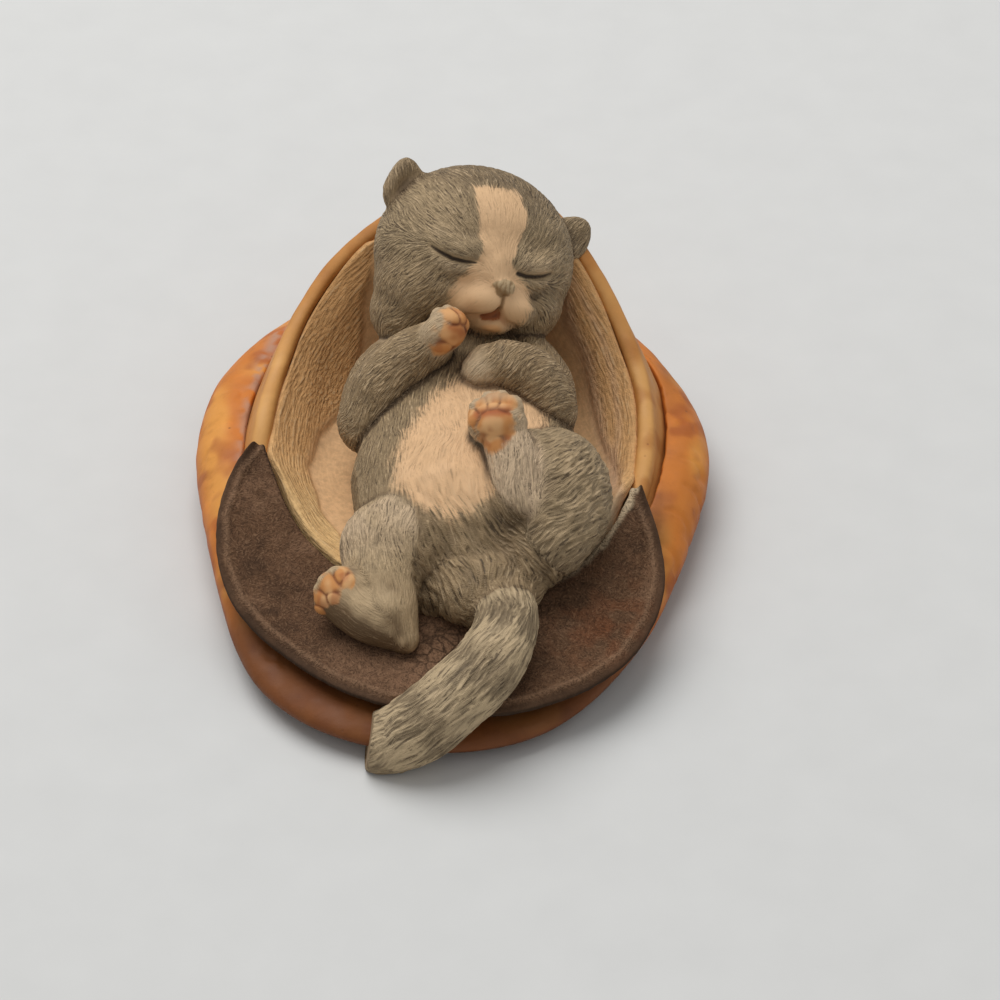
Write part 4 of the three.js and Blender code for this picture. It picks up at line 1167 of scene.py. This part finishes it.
# the visor: suede with a raised line just inside its outer edge
visorLook = {
    "base": (102, 75, 55), "light": (136, 104, 80), "dark": (60, 44, 33), "worn": (122, 76, 50), "edge": (62, 47, 36),
    "line": (136, 106, 82), "fringe": liningLook["fringe"],
    "outer": [(-27.6, -5), (-29.9, -9.6), (-31, -17), (-29.8, -24.4), (-26.6, -31.2), (-22.3, -36), (-17, -40.2),
              (-11.5, -43.8), (-4.5, -46.4), (3.5, -47.2), (10.8, -46.4), (16.4, -44), (22.2, -40.2),
              (27.2, -34.8), (30.2, -28), (31.2, -21), (30, -14.5), (28, -9.5), (26.8, -6.2)],
    "inner": [(-25.9, -5.4), (-24, -9.2), (-22, -13), (-19, -17.5), (-15.5, -21), (-11.5, -24), (-7, -26.2),
              (-2, -27.4), (3, -27.4), (8, -26.4), (12.5, -24.4), (16.5, -21.4), (19.8, -17.8), (22.4, -13.8),
              (24, -10.4), (25.3, -6.8)],
}
visor = copyOfNode("visor", "visor_suede", clothLevels)


def visorShape(points, normals):
    fromEdge, _ = lineGap(points[:, :2], visorLook["outer"])
    up = ramp(normals[:, 2], 0.2, 0.7)
    raised = 0.28 * bump(fromEdge - 1.5, 0.45) - 0.12 * bump(fromEdge - 0.7, 0.4)
    return raised * up + 0.2 * (noise(points, 4, 58) - 0.5) + 0.1 * (noise(points, 0.9, 59) - 0.5)


points, normals = workOver(visor, visorShape)
fromEdge, _ = lineGap(points[:, :2], visorLook["outer"])
fromInner, _ = lineGap(points[:, :2], visorLook["inner"])
x, y, z = points.T
patch = noise(points, 5, 72) * 0.6 + noise(points, 1.6, 73) * 0.4
paintOver(visor.data, visorLook, [
    ("light", ramp(patch, 0.52, 0.75) * 0.4), ("dark", ramp(patch, 0.45, 0.2) * 0.5),
    ("worn", bump(np.hypot(x - 24, y + 29), 7) * ramp(noise(points, 1.8, 74), 0.35, 0.7) * 0.7),
    ("light", bump(np.hypot(x - 1, y + 38), 9)),
    ("line", bump(fromEdge - 1.5, 0.4) * 0.7), ("edge", ramp(fromEdge, 1.2, 0.5) * 0.6),
    # painted shade on the visor's side faces, which turn away from above
    ("edge", ramp(normals[:, 2], 0.6, 0.1)),
    ("edge", ramp(fromInner + 0.3 * (patch - 0.5), 0.6, 0.2) * 0.8),
    ("dark", ramp(np.abs(x) - 0.6 * (y + 8), 24, 29) * ramp(-y, 12, 7) * 0.6),
    ("fringe", (x > 15) * ramp(fromInner + 0.9 * (noise(points, 1.6, 79) - 0.5), 1.5, 0.7)
     * ramp(-y, 24, 19) * 0.9),  # a ragged edge of the fleece laps over the visor
])
fibre = unit(np.stack([noise(points, 0.9, 75 + i) - 0.5 for i in range(3)], 1) + 1e-4)
setAttribute(visor.data, "lie", fibre)
setAttribute(visor.data, "pile", ramp(normals[:, 2], 0.1, 0.6) * ramp(fromEdge, 0.3, 1.2))
setAttribute(visor.data, "cracked", bump(np.hypot(x - 2.4, y + 35.5), 6.5) + 0.6 * bump(np.hypot(x - 17, y + 27), 5))


def clothMaterial(name, mottleShare, spotPaint):
    # painted in broad areas on the mesh, with clouds, specks and pits added here
    material, tree, shader, vector = newMaterial(name)
    paint = attribute(tree, "paint", "Color")
    bright = mixColour(tree, paint, (1.22, 1.2, 1.16, 1), 1.0, "MULTIPLY")
    deep = mixColour(tree, paint, (0.72, 0.66, 0.6, 1), 1.0, "MULTIPLY")
    paints = placeGroup(tree, mottle, Vector=vector, Base=paint, Light=bright, Dark=deep, Cloud_size=190.0,
                        Spot_size=900.0)
    mixed = mixColour(tree, paint, paints.outputs[0], mottleShare)
    pit = addNode(tree, "ShaderNodeTexVoronoi", Vector=vector, Scale=520.0)
    scarce = remap(tree, cloudy(tree, vector, 170.0, 2.0), 0.5, 0.62)
    pits = times(tree, remap(tree, pit.outputs["Distance"], 0.16, 0.05), scarce)
    colour = mixColour(tree, mixed, rgba(*spotPaint), times(tree, pits, 0.7))
    height = maths(tree, "SUBTRACT", paints.outputs[1], times(tree, pits, 0.6))
    finishSurface(tree, shader, colour, vector, height, rough=0.62, relief=0.0002, strength=0.35)
    return material


def combedMaterial(name, fineness, length, grooveShare, tipShare, groovePaint, tipPaint, mask, rough=0.85,
                   specular=0.2, relief=0.00018, cracks=None):
    material, tree, shader, vector = newMaterial(name, specular=specular)
    lie = attribute(tree, "lie", "Vector")
    combing = placeGroup(tree, combed, Vector=vector, Lie=lie, Fineness=fineness, Length=length)
    amount = maths(tree, "ADD", times(tree, attribute(tree, mask), 0.85), 0.15)
    height, groove, tip = (times(tree, part, amount) for part in combing.outputs)
    colour = attribute(tree, "paint", "Color")
    colour = mixColour(tree, colour, rgba(*groovePaint), times(tree, groove, grooveShare))
    colour = mixColour(tree, colour, rgba(*tipPaint), times(tree, tip, tipShare))
    shade = remap(tree, cloudy(tree, vector, 1100.0, 4.0, 0.65), 0.3, 0.7, 0.86, 1.1)
    colour = mixColour(tree, colour, shade, 1.0, "MULTIPLY")
    if cracks:  # crumbled paint where the mask is on
        wobble = addNode(tree, "ShaderNodeTexNoise", Vector=vector, Scale=700.0, Detail=3.0)
        bent = addNode(tree, "ShaderNodeVectorMath", {"operation": "MULTIPLY_ADD"}, i0=wobble.outputs[1],
                       i1=(0.0012, 0.0012, 0.0012), i2=vector)
        cell = addNode(tree, "ShaderNodeTexVoronoi", {"feature": "DISTANCE_TO_EDGE"}, Vector=bent.outputs[0],
                       Scale=560.0)
        line = times(tree, remap(tree, cell.outputs[0], 0.12, 0.02), attribute(tree, cracks))
        colour = mixColour(tree, colour, rgba(*groovePaint), times(tree, line, 0.7))
        height = maths(tree, "SUBTRACT", height, line)
    finishSurface(tree, shader, colour, vector, height, rough, relief, strength=0.7)
    return material


def feltMaterial(name, base, light, dark):
    material, tree, shader, vector = newMaterial(name, specular=0.1)
    paints = placeGroup(tree, mottle, Vector=vector, Base=rgba(*base), Light=rgba(*light), Dark=rgba(*dark),
                        Cloud_size=400.0, Spot_size=3000.0)
    finishSurface(tree, shader, paints.outputs[0], vector, paints.outputs[1], rough=0.95, relief=0.0002, strength=0.25)
    return material


finishes = {
    "crown": clothMaterial("crownPaint", mottleShare=0.6, spotPaint=(104, 62, 34)),
    "band": clothMaterial("bandPaint", mottleShare=0.4, spotPaint=(150, 96, 52)),
    "lining": combedMaterial("liningPaint", fineness=2500.0, length=0.0026, grooveShare=0.3, tipShare=0.3,
                             groovePaint=(128, 92, 58), tipPaint=(236, 208, 164), mask="wall"),
    "visor": combedMaterial("visorPaint", fineness=3600.0, length=0.0013, grooveShare=0.5, tipShare=0.26,
                            groovePaint=(50, 36, 27), tipPaint=(152, 122, 94), mask="pile", rough=0.95,
                            specular=0.12, relief=0.0002, cracks="cracked"),
    "felt": feltMaterial("feltFibre", base=(44, 48, 42), light=(60, 64, 56), dark=(28, 30, 28)),
}
for piece, node, slot, finish in ((crown, "cap_crown", "cap_paint", "crown"), (band, "cap_band", "band_paint", "band"),
                                  (lining, "cap_lining", "lining_paint", "lining"),
                                  (visor, "visor", "visor_paint", "visor")):
    piece.data.materials.append(finishes[finish])
    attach(piece, "root")
    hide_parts(node)
nodes["base_felt"].material_slots[0].material = finishes["felt"]
print("cap made")

# floor and light
studio = {
    "floor": (214, 214, 212), "sky": 0.4,
    # place and size in metres, and power
    "lamps": {"windowLight": ((-0.3, 0.36, 1.0), 1.1, 9.8), "roomLight": ((0.5, -0.7, 0.8), 0.8, 0.3)},
}


def addFloor():
    bpy.ops.mesh.primitive_plane_add(size=4, location=(0, 0, 0))
    floor = bpy.context.active_object
    floor.name = "paleTable"
    material, tree, shader, vector = newMaterial("tablePaper", 0.9, 0.1)
    tone = linear(*studio["floor"])
    colour = mixColour(tree, (*tone * 0.96, 1), (*tone * 1.03, 1), cloudy(tree, vector, 120.0, 3.0))
    feed(tree, shader.inputs["Base Color"], colour)
    floor.data.materials.append(material)


def addLamp(name, place, size, power):
    bpy.ops.object.light_add(type="AREA", location=place, rotation=(-Vector(place)).to_track_quat("-Z", "Y").to_euler())
    lamp = bpy.context.active_object
    lamp.name = name
    lamp.data.shape, lamp.data.size, lamp.data.energy = "DISK", size, power


addFloor()
for name, lamp in studio["lamps"].items():
    addLamp(name, *lamp)
world = bpy.data.worlds.new("room")
bpy.context.scene.world = world
world.use_nodes = True
sky = world.node_tree.nodes["Background"].inputs
sky[0].default_value, sky[1].default_value = (1, 1, 1, 1), studio["sky"]
bpy.context.scene.view_settings.view_transform = "Standard"
print("floor and light placed")
